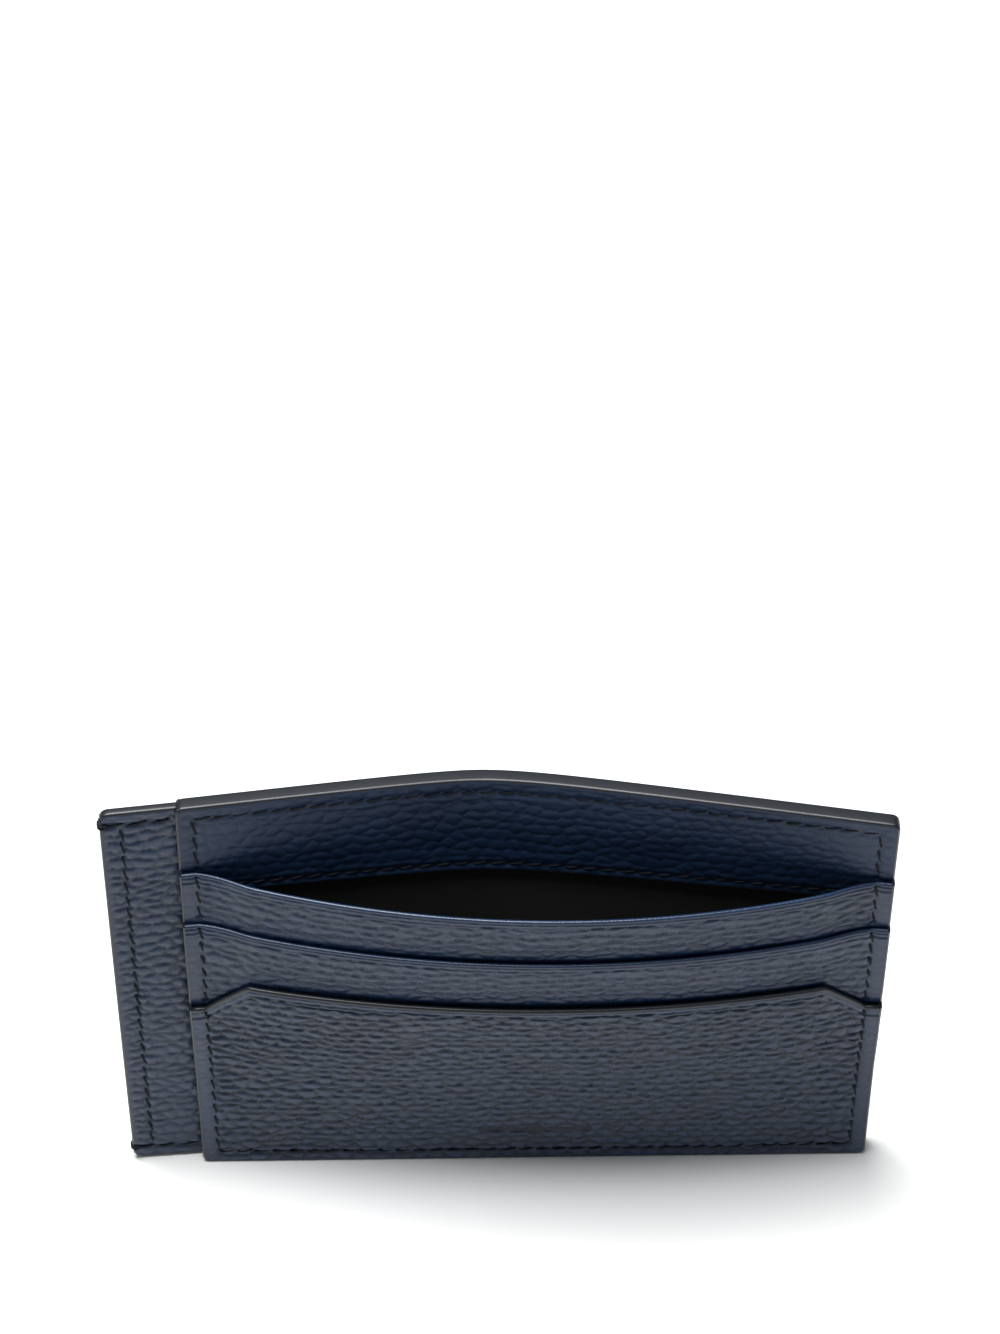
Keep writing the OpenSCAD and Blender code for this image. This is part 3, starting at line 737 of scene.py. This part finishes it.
def fibre_board():
    """Bonded leather-fibre board, pressed: dull, mottled tan-grey felt of fibres."""
    m, tree, out = material("pressed_fibre_board", Roughness=0.85, IOR=1.45)
    fibres = texture(tree, "ShaderNodeTexNoise", 1.2, Detail=5)
    wire(tree, out, Base_Color=blend(tree, fibres.outputs["Fac"], linear("#57514a"), linear("#7d766a")))
    return m


def calf():
    """The front's and back's calf, made once and shared."""
    name = "calf_leather_embossed_pebble"
    return bpy.data.materials.get(name) or embossed_calf(name, 0.29, 1.45)


def lining_cloth():
    """The linings' twill, made once and shared."""
    return bpy.data.materials.get("viscose_twill_black") or twill()


# ---------------------------------------------------------------- relief of each leather

def pebbled(x, z, calm, seed, depth=1.0):
    """Lift and grain of the front's pebbles; calm is 1 where the grain is pressed flat."""
    p = leather()
    h = pebbles(x, z, p.pebble_w / MM, p.pebble_h / MM, seed)
    keep = depth * (1 - clamp01(calm))
    swell = 0.06 * keep * soft_noise(x / 9, z / 7, seed + 20)
    # The grain value returned here is 1 on the pebbles and lower in the creases; the material paints shade
    # from it by darkening the creases.
    return p.pebble_d / MM * keep * (h - 0.8) + swell, 1 - keep * (1 - h)


def near(distance, reach):
    return 1 - ease(distance / reach)


def side_seams(top, low):
    return [((side * SEAM_X, top), (side * SEAM_X, low)) for side in (-1, 1)]


def side_gap(x):
    return EDGE_X - np.abs(x)


def margin(x):
    """The margin outside the side seams, where the press has flattened the grain."""
    return 0.85 * near(side_gap(x) - 1.6, 1.4)


def pressed_mark(x, z):
    """1 inside the plain mark pressed into the front pocket: a thin bar with a lozenge at its middle."""
    rise = np.abs(z - 8.2)
    bar = ease((8.5 - np.abs(x)) / 0.4) * ease((0.75 - rise) / 0.3)
    lozenge = ease((1 - np.abs(x) / 2.6 - rise / 2.0) / 0.25)
    return np.maximum(bar, lozenge)


def pocket_relief(x, z):
    to_mouth = (pocket_mouth(x) - z) * np.where(np.abs(x) > SEAM_X - POCKET_CUT, 0.74, 1)
    edge = np.minimum(np.minimum(side_gap(x), z - PLY_LOW), to_mouth)
    calm = np.maximum(np.maximum(near(edge, 1.0), margin(x)), near(to_mouth, 2.6))
    lift, grain = pebbled(x, z, calm, 3, 1.15)
    creases = crease_line(to_mouth, 0.35, 0.14, 0.1) + crease_line(to_mouth, 1.3, 0.2, 0.2)
    seams = [((-SEAM_X, SEAM_LOW), (SEAM_X, SEAM_LOW)), *side_seams(POCKET_SIDE_H - 0.6, SEAM_LOW)]
    lift = lift + creases + seam_relief(x, z, seams)
    pressed = pressed_mark(x, z)
    # Painted shade: inside the pressed mark the grain value drops to 0, so its recess takes the darker
    # colour of the creases; the crease lines below the mouth lower the grain value too, which darkens them
    # only where it falls below 0.7.
    return lift * (1 - pressed) - 0.45 * pressed, (grain + creases) * (1 - pressed)


def slot_relief(mouth, lower, seed):
    """Relief of a slot panel whose mouth is at one height and that is seen down to the outline lower."""
    def relief(x, z):
        down = mouth - z
        calm = np.maximum(np.maximum(margin(x), near(down, 3.2)), 0.8 * near(np.abs(z - lower(x)), 1.6))
        lift, grain = pebbled(x, z, calm, seed, 0.8)
        creases = crease_line(down, 0.62, 0.15, 0.14) + crease_line(down, 1.5, 0.2, 0.15)
        seams = side_seams(mouth - 0.6, float(lower(SEAM_X)) + 0.6)
        lift = lift + creases + seam_relief(x, z, seams)
        # The crease lines lower the grain value, which darkens them towards the painted crease shade where
        # it falls below 0.7; the lip's raised value only makes it glossier.
        return lift, grain + 0.12 * near(down, 0.5) + creases
    return relief


def facing_relief(x, z):
    """The facing's milled grain is softer, with long wandering creases."""
    edge = np.minimum(np.minimum(side_gap(x), PLY_TOP - z), z - FACING_LOW)
    h = pebbles(x, z, 2.5, 1.7, 41)
    fold = np.abs(soft_noise((x + 0.7 * z) / 6.5, (z - 0.3 * x) / 4.2, 43))
    long_crease = np.exp(-(fold / 0.07) ** 2)
    keep = 1 - near(edge, 1.0)
    seams = [((-SEAM_X, SEAM_TOP), (SEAM_X, SEAM_TOP)),
             ((-FACING_SEAM_X, FACING_SEAM), (FACING_SEAM_X, FACING_SEAM)),
             *side_seams(SEAM_TOP - 0.6, SLOT_1_H)]
    lift = keep * (0.11 * (h - 0.8) - 0.09 * long_crease + 0.07 * soft_noise(x / 8, z / 6, 44))
    # Painted shade: the grain value falls by up to 0.4 in the pebbles' creases, darkening the base colour
    # there.
    return lift + seam_relief(x, z, seams), 1 - 0.4 * keep * (1 - h)


def strip_relief(seed):
    """Relief of one of the strip's leathers, which is only seen outside the body."""
    def relief(x, z):
        edge = np.minimum(np.minimum(x - STRIP_X, STRIP_TOP - z), z - STRIP_LOW)
        lift, grain = pebbled(x, z, near(edge, 1.0), seed, 0.8)
        seams = [((STRIP_X, h), (STRIP_SEAM_END, h)) for h in (STRIP_SEAM_LOW, STRIP_SEAM_TOP)]
        seams.append(MOUTH_SEAM)
        tuck = -0.1 * near(-EDGE_X - x, 1.2)
        return (lift + seam_relief(x, z, seams) + tuck) * (x < -EDGE_X), grain
    return relief


def back_relief(x, z):
    edge = np.minimum(np.minimum(side_gap(x), PLY_TOP - z), z - PLY_LOW)
    lift, grain = pebbled(x, z, near(edge, 1.0), 61, 0.7)
    seams = [((-SEAM_X, h), (SEAM_X, h)) for h in (SEAM_LOW, SEAM_TOP)] + side_seams(SEAM_TOP, SEAM_LOW)
    return lift + seam_relief(x, z, seams), grain


# ---------------------------------------------------------------- operators

class HOLDER_OT_back_panel(bpy.types.Operator):
    """Build the pebbled back panel"""
    bl_idname = "holder.back_panel"
    bl_label = "Back panel"

    def execute(self, context):
        ply("back_panel_leather", body_columns(FINE), spaced(PLY_LOW, PLY_TOP, FINE), body_low, body_top,
            lambda x, z: back_y(x, z) + np.where(x < FLANGE_X + 0.01, BACK_IN + FLANGE_T + GLUE, BACK_IN),
            back_rear, "back_panel", calf(), relief=back_relief, fine="rear")
        return {"FINISHED"}


class HOLDER_OT_facing(bpy.types.Operator):
    """Build the leather facing inside the main pocket"""
    bl_idname = "holder.facing"
    bl_label = "Inner facing"

    def execute(self, context):
        skive, skive_run = 0.5, 0.18
        ply("facing_leather_band", body_columns(FINE), spaced(FACING_LOW, PLY_TOP, FINE), level(FACING_LOW),
            body_top, lambda x, z: back_y(x, z) + skive * np.exp(-(z - FACING_LOW) / skive_run),
            behind(FACING_T), "inner_facing",
            embossed_calf("calf_leather_milled_facing", 0.42, 1.38), relief=facing_relief)
        return {"FINISHED"}


class HOLDER_OT_linings(bpy.types.Operator):
    """Build the twill linings of the main pocket"""
    bl_idname = "holder.linings"
    bl_label = "Main pocket linings"

    def execute(self, context):
        cloth = lining_cloth()

        def ripple(x, z):
            return 0.12 * soft_noise(x / 7, z / 9, 71) * near(np.abs(z - 45), 20), np.ones(x.shape)

        cols, top = body_columns(SMOOTH), high_mm("front_lining", 2)
        rear_wall = ply(
            "back_lining_twill", cols, spaced(PLY_LOW, LINING_TOP, SMOOTH), body_low, level(LINING_TOP),
            behind(BACK_LINING_IN), behind(BACK_LINING_IN, CLOTH_T),
            "back_lining", cloth, relief=ripple)
        front_wall = ply(
            "front_lining_twill", cols, spaced(PLY_LOW, top, SMOOTH), body_low, level(top),
            lambda x, z: front_y(x, z) - FRONT_LINING_IN - CLOTH_T,
            lambda x, z: front_y(x, z) - FRONT_LINING_IN,
            "front_lining", cloth, fine="rear")
        return {"FINISHED"}


class HOLDER_OT_inner_layers(bpy.types.Operator):
    """Build the hidden cloth backings, side pocket linings and stiffening board"""
    bl_idname = "holder.inner_layers"
    bl_label = "Inner layers"

    def execute(self, context):
        cloth = lining_cloth()
        cols = body_columns(PLAIN)

        def backing(name, node, top_z, top, inner):
            piece = ply(name, cols, spaced(PLY_LOW, top_z, PLAIN), body_low, top,
                        lambda x, z: inner(x, z) - CLOTH_T, inner, node, cloth)

        for number, inner in ((1, lambda x, z: front_y(x, z) - BACKING_1_IN),
                              (2, lambda x, z: front_y(x, z) - backing_2_in(z) - gape(x, z, SLOT_2_H))):
            node = f"slot_{number}_backing"
            backing(node + "_cloth", node, high_mm(node, 2), level(high_mm(node, 2)), inner)
        drop = POCKET_H - high_mm("front_pocket_lining", 2)
        backing("front_pocket_lining_cloth", "front_pocket_lining", POCKET_H - drop,
                lambda x: pocket_mouth(x) - drop,
                lambda x, z: front_y(x, z) - pocket_lining_in(z) - gape(x, z, POCKET_H))
        side_cols = np.concatenate([spaced(STRIP_X, -EDGE_X - 0.3, SMOOTH), cols])
        for which, inner in (("front", SIDE_FRONT_IN), ("rear", SIDE_REAR_IN)):
            piece = ply(f"side_pocket_{which}_lining_twill", side_cols, spaced(STRIP_LOW, STRIP_TOP, PLAIN),
                        side_low, side_top, behind(inner), behind(inner, CLOTH_T),
                        f"side_pocket_{which}_lining", cloth)
        low, top = low_mm("back_stiffener", 2), high_mm("back_stiffener", 2)
        ply("stiffening_board", spaced(-BOARD_X, BOARD_X, PLAIN), spaced(low, top, PLAIN), level(low),
            level(top), behind(BOARD_IN), behind(BOARD_IN, BOARD_T), "back_stiffener",
            fibre_board())
        return {"FINISHED"}


class HOLDER_OT_strip(bpy.types.Operator):
    """Build the two leathers of the side pocket's mouth strip"""
    bl_idname = "holder.strip"
    bl_label = "Side pocket strip"

    def execute(self, context):
        turn = STRIP_R * (1 - np.cos(np.radians([0, 30, 60])))
        cols = np.concatenate([STRIP_X + turn, spaced(STRIP_X + STRIP_R, -EDGE_X - 0.15, FINE),
                               spaced(-EDGE_X + 0.15, FLANGE_X, 0.6)])
        rows = spaced(STRIP_LOW, STRIP_TOP, FINE)
        skived = SIDE_FRONT_IN - GLUE - FLANGE_T
        ply("strip_front_leather", cols, rows, side_low, side_top,
            lambda x, z: back_y(x, z) + np.where(x < -EDGE_X, FACING_T, skived),
            behind(SIDE_FRONT_IN, -GLUE),
            "tab_front_leather", calf(), relief=strip_relief(11))
        ply("strip_rear_leather", cols, rows, side_low, side_top, behind(BACK_IN),
            lambda x, z: back_y(x, z) + np.where(x < -EDGE_X, STRIP_OUT, BACK_IN + FLANGE_T),
            "tab_rear_leather", calf(), relief=strip_relief(17), fine="rear")
        return {"FINISHED"}


class HOLDER_OT_slots(bpy.types.Operator):
    """Build the two card slot panels with their turned mouths"""
    bl_idname = "holder.slots"
    bl_label = "Card slot panels"

    def execute(self, context):
        cols = body_columns(FINE)

        def panel(number, mouth, low, lower, inner, doubled, stand):
            seen = float(lower(SEAM_X)) - 3
            rows = np.concatenate([spaced(low, seen, PLAIN)[:-1], rows_to_mouth(seen, mouth)])

            def off(x, z):
                return front_y(x, z) - stand * gape(x, z, mouth)

            ply(f"slot_{number}_leather", cols, rows, level(low), level(mouth),
                lambda x, z: off(x, z) - inner(z) - PANEL_T,
                lambda x, z: off(x, z) - np.where(z > mouth - TURN_D, doubled(z), inner(z)),
                f"slot_{number}_panel", calf(),
                relief=slot_relief(mouth, lower, 20 + number), lip=TURN_R)

        panel(1, SLOT_1_H, PANEL_1_LOW, level(SLOT_2_H), level(PANEL_1_IN), level(BACKING_1_IN), 0)
        panel(2, SLOT_2_H, PANEL_2_LOW, lambda x: pocket_mouth(x) + PAINT_T, panel_2_in, backing_2_in, 1)
        return {"FINISHED"}


class HOLDER_OT_front_pocket(bpy.types.Operator):
    """Build the front pocket with its cut corners and pressed mark"""
    bl_idname = "holder.front_pocket"
    bl_label = "Front pocket"

    def execute(self, context):
        cols = body_columns(FINE)
        for corner in (SEAM_X, SEAM_X - POCKET_CUT):
            for side in (-1, 1):
                cols[np.argmin(np.abs(cols - side * corner))] = side * corner
        ply("front_pocket_leather", cols, rows_to_mouth(PLY_LOW, POCKET_H), body_low, pocket_mouth,
            lambda x, z: pocket_face(x, z, POCKET_T), lambda x, z: pocket_face(x, z, 0),
            "front_pocket", calf(), relief=pocket_relief)
        return {"FINISHED"}


# Stations of a corner's arc: the level beads take the first ones and the upright beads the last, and both
# take those between
LEVEL_PART, UPRIGHT_PART = 4, 2


def corner_arc(side, up, front, rear):
    """Stations round one of the body's corners, from its level edge to its upright edge."""
    out = []
    for a in np.radians(np.linspace(90, 0, 7)):
        x = side * (EDGE_X - CORNER_R + CORNER_R * math.cos(a))
        z = (PLY_TOP - CORNER_R if up > 0 else PLY_LOW + CORNER_R) + up * CORNER_R * math.sin(a)
        out.append([x, z, side * math.cos(a), up * math.sin(a), front(x, z), rear(x, z)])
    return out


def side_path(side, front, rear):
    """Stations down one side of the body, from the upright part of one corner to that of the other, stepping
    at each mouth."""
    levels = set(spaced(PLY_LOW + CORNER_R, PLY_TOP - CORNER_R, SMOOTH))
    for mouth in (SLOT_1_H, SLOT_2_H, POCKET_SIDE_H + PAINT_T):
        levels = {z for z in levels if abs(z - mouth) > 0.5}
        levels |= {mouth - 0.22, mouth - 0.08, mouth + 0.02, mouth + 0.1}
    x = side * EDGE_X
    middle = [[x, z, side, 0, front(x, z), rear(x, z)] for z in sorted(levels, reverse=True)]
    top, foot = (corner_arc(side, up, front, rear)[UPRIGHT_PART:] for up in (1, -1))
    path = top + middle + foot[::-1]
    return path if side > 0 else path[::-1]


def strip_end_path(up):
    """Stations along the strip's sewn top or bottom and round its corner, over both leathers."""
    inner, turn = -EDGE_X + 0.6, STRIP_X + STRIP_R
    edge = STRIP_TOP if up > 0 else STRIP_LOW
    line = [(x, edge, 0, up) for x in spaced(turn, inner, SMOOTH)[::-1]]
    for a in np.radians([25, 50, 75]):
        out, over_arc = math.sin(a), math.cos(a)
        line.append((turn - STRIP_R * out, edge - up * STRIP_R * (1 - over_arc), -out, up * over_arc))
    held = [min(x, -EDGE_X - 0.01) for x, _, _, _ in line]
    path = [[x, z, nx, nz, strip_front(h, z), strip_rear(h, z)] for h, (x, z, nx, nz) in zip(held, line)]
    return path[::-1] if up > 0 else path


def strip_mouth_path(front, rear):
    """Stations up the strip's mouth, over one leather."""
    return [[STRIP_X, z, -1, 0, front(STRIP_X, z), rear(STRIP_X, z)]
            for z in spaced(STRIP_LOW + 0.6, STRIP_TOP - 0.6, SMOOTH)]


def pocket_mouth_path():
    """Stations along the front pocket's mouth and down its cut corners, with mitred bends."""
    bends = (SEAM_X - POCKET_CUT, SEAM_X)
    xs = sorted(set(spaced(-EDGE_X, EDGE_X, SMOOTH)) | {side * bend for side in (-1, 1) for bend in bends})
    path = []
    for x in xs:
        z = float(pocket_mouth(x))
        lean, size = 0, 1
        if min(abs(abs(x) - bend) for bend in bends) < 0.01:
            lean = math.tan(math.radians(22.5))
        elif bends[0] < abs(x) < bends[1]:
            lean, size = 1, math.sqrt(2)
        path.append([x, z, math.copysign(lean, x) / size, 1 / size, pocket_face(x, z, POCKET_T),
                     pocket_face(x, z, 0)])
    return path


class HOLDER_OT_edge_paint(bpy.types.Operator):
    """Build the painted edges"""
    bl_idname = "holder.edge_paint"
    bl_label = "Edge paint"

    def execute(self, context):
        paint = edge_paint()

        def make(name, node, paths, **form):
            points, faces = joined([bead(path, **form) for path in paths])
            new_piece(name, points, faces, node, paint)

        flat = EDGE_X - CORNER_R
        along = spaced(-flat, flat, SMOOTH)
        top = [[x, PLY_TOP, 0, 1, back_y(x, PLY_TOP), back_rear(x, PLY_TOP)] for x in along[1:-1]]
        foot = [[x, PLY_LOW, 0, -1, stack_front(x, PLY_LOW), back_rear(x, PLY_LOW)] for x in along[-2:0:-1]]
        arcs = {(side, up): corner_arc(side, up, stack_front, back_rear)[:LEVEL_PART]
                for side in (-1, 1) for up in (-1, 1)}
        make("top_edge_bead", "top_edge_paint", [arcs[-1, 1][::-1] + top + arcs[1, 1]])
        make("foot_edge_bead", "bottom_edge_paint", [arcs[1, -1][::-1] + foot + arcs[-1, -1]])
        make("left_edge_bead", "left_edge_paint", [side_path(-1, stack_front, behind(FACING_T, -GLUE)),
                                                   side_path(-1, behind(STRIP_OUT, GLUE), back_rear)])
        make("right_edge_bead", "right_edge_paint", [side_path(1, stack_front, back_rear)])
        make("strip_edge_beads", "tab_edge_paint", [
            strip_mouth_path(strip_front, behind(SIDE_FRONT_IN, CLOTH_T)),
            strip_mouth_path(behind(SIDE_REAR_IN), strip_rear), strip_end_path(1), strip_end_path(-1)])
        make("pocket_mouth_bead", "pocket_edge_paint", [pocket_mouth_path()], wrap=0.12, proud=0.03)
        return {"FINISHED"}


def wrap_loop(z, shift):
    """Thread from a needle hole in front, round the strip's outer edge and into the hole behind."""
    radius = thread().thickness / MM * 0.55
    h = z + shift
    x = STRIP_X - PAINT_T - radius * 0.8
    yf = float(strip_front(STRIP_X, h)) - radius * 0.5
    yr = float(strip_rear(STRIP_X, h)) + radius * 0.5
    return tube([
        (x + 1.5, yf + 0.55, z), (x + 1.1, yf + 0.12, z + shift * 0.6), (x + 0.5, yf - 0.06, h),
        (x + 0.08, yf + 0.25, h), (x, yf * 0.65 + yr * 0.35, h), (x, yf * 0.35 + yr * 0.65, h),
        (x + 0.08, yr - 0.25, h), (x + 0.5, yr + 0.1, h), (x + 1.1, yr - 0.05, z + shift * 0.6),
        (x + 1.5, yr - 0.45, z)], radius, squash=0.95)


class HOLDER_OT_threads(bpy.types.Operator):
    """Sew every seam"""
    bl_idname = "holder.threads"
    bl_label = "Threads"

    def execute(self, context):
        yarn = waxed_thread()

        def sew(name, node, rows):
            points, faces = joined([stitches(*row) for row in rows])
            new_piece(name, points, faces, node, yarn)

        sew("top_seam_stitches", "top_seam_thread", [
            ((-SEAM_X, SEAM_TOP), (SEAM_X, SEAM_TOP), back_y, -1),
            ((-SEAM_X, SEAM_TOP), (SEAM_X, SEAM_TOP), back_rear, 1)])
        sew("bottom_seam_stitches", "bottom_seam_thread", [
            ((-SEAM_X, SEAM_LOW), (SEAM_X, SEAM_LOW), stack_front, -1),
            ((-SEAM_X, SEAM_LOW), (SEAM_X, SEAM_LOW), back_rear, 1)])
        stops = [SEAM_TOP, SLOT_1_H, SLOT_2_H, POCKET_SIDE_H + PAINT_T, SEAM_LOW]
        for name, side in (("left", -1), ("right", 1)):
            x = side * SEAM_X
            rows = [((x, a - 0.5), (x, b + 0.5), stack_front, -1) for a, b in zip(stops, stops[1:])]
            rows.append(((x, SEAM_TOP - 0.5), (x, SEAM_LOW + 0.5), back_rear, 1))
            sew(f"{name}_seam_stitches", f"{name}_seam_thread", rows)
        sew("facing_seam_stitches", "facing_seam_thread",
            [((-FACING_SEAM_X, FACING_SEAM), (FACING_SEAM_X, FACING_SEAM), back_y, -1)])
        both = ((strip_front, -1), (strip_rear, 1))
        sew("strip_seam_stitches", "tab_seam_thread",
            [((STRIP_X + 0.3, z), (STRIP_SEAM_END, z), *face)
             for z in (STRIP_SEAM_TOP, STRIP_SEAM_LOW) for face in both])
        sew("strip_mouth_stitches", "tab_mouth_thread", [(*MOUTH_SEAM, *face) for face in both])
        points, faces = joined([wrap_loop(z, shift) for z in (STRIP_SEAM_TOP, STRIP_SEAM_LOW)
                                for shift in (-0.25, 0.25)])
        new_piece("corner_wrap_loops", points, faces, "corner_wrap_thread", yarn)
        return {"FINISHED"}


class HOLDER_OT_stage(bpy.types.Operator):
    """Set the floor, the softbox and the camera"""
    bl_idname = "holder.stage"
    bl_label = "Stage"

    def execute(self, context):
        scene = context.scene
        paint = material("matt_painted_floor", Roughness=0.65, IOR=1.45,
                         Base_Color=[*linear("#f6f6f5"), 1])[0]
        half = 1.5
        mesh = bpy.data.meshes.new("floor")
        corners = [(-half, -half, 0), (half, -half, 0), (half, half, 0), (-half, half, 0)]
        mesh.from_pydata(corners, [], [(0, 1, 2, 3)])
        mesh.materials.append(paint)
        floor = bpy.data.objects.new("floor", mesh)
        scene.collection.objects.link(floor)

        world = bpy.data.worlds.new("studio")
        world.use_nodes = True
        background = world.node_tree.nodes["Background"]
        background.inputs["Color"].default_value = [0.9, 0.95, 1, 1]
        background.inputs["Strength"].default_value = 0.24
        scene.world = world
        scene.view_settings.view_transform = "Standard"

        lamp = bpy.data.lights.new("top_softbox", "AREA")
        lamp.energy, lamp.size = 11.5, 0.4
        softbox = bpy.data.objects.new("top_softbox", lamp)
        softbox.location = (-0.15, 0.06, 0.8)
        toward = Vector((0, 0.04, 0)) - softbox.location
        softbox.rotation_euler = toward.to_track_quat("-Z", "Y").to_euler()
        scene.collection.objects.link(softbox)

        camera = bpy.data.cameras.new("camera")
        camera.sensor_width = 36
        camera.lens = 104.4
        camera.clip_start, camera.clip_end = 0.01, 10
        view = bpy.data.objects.new("camera", camera)
        yaw, dip, roll = math.radians(0.79), math.radians(45.37), math.radians(-0.08)
        ahead = Vector((math.sin(yaw) * math.cos(dip), math.cos(yaw) * math.cos(dip), -math.sin(dip)))
        right = ahead.cross(Vector((0, 0, 1))).normalized()
        up = right.cross(ahead)
        tilted = right * math.cos(roll) + up * math.sin(roll)
        turned = Matrix((tilted, up * math.cos(roll) - right * math.sin(roll), -ahead)).transposed().to_4x4()
        view.matrix_world = Matrix.Translation((-0.0100, -0.3589, 0.4683)) @ turned
        scene.collection.objects.link(view)
        scene.camera = view
        return {"FINISHED"}


class HOLDER_PT_sidebar(bpy.types.Panel):
    """Lists the holder's sizes, colours and pieces"""
    bl_idname = "HOLDER_PT_sidebar"
    bl_label = "Card Holder"
    bl_space_type = "VIEW_3D"
    bl_region_type = "UI"
    bl_category = "Card Holder"

    def draw(self, context):
        layout = self.layout
        for group in (context.scene.holder_shape, context.scene.holder_leather, context.scene.holder_thread):
            box = layout.box()
            for key in group.__annotations__:
                box.prop(group, key)
        for operator in OPERATORS:
            layout.operator(operator.bl_idname)


GROUPS = {"holder_shape": HolderShape, "holder_leather": HolderLeather, "holder_thread": HolderThread}
OPERATORS = [
    HOLDER_OT_stage, HOLDER_OT_back_panel, HOLDER_OT_inner_layers, HOLDER_OT_linings, HOLDER_OT_facing,
    HOLDER_OT_strip, HOLDER_OT_slots, HOLDER_OT_front_pocket, HOLDER_OT_edge_paint, HOLDER_OT_threads,
]


def register():
    for name, group in GROUPS.items():
        bpy.utils.register_class(group)
        setattr(bpy.types.Scene, name, PointerProperty(type=group))
    for cls in [*OPERATORS, HOLDER_PT_sidebar]:
        bpy.utils.register_class(cls)


def unregister():
    for cls in [HOLDER_PT_sidebar, *reversed(OPERATORS)]:
        bpy.utils.unregister_class(cls)
    for name, group in GROUPS.items():
        delattr(bpy.types.Scene, name)
        bpy.utils.unregister_class(group)


def main():
    register()
    for operator in OPERATORS:
        area, verb = operator.bl_idname.split(".")
        getattr(getattr(bpy.ops, area), verb)()


if __name__ == "__main__":
    main()
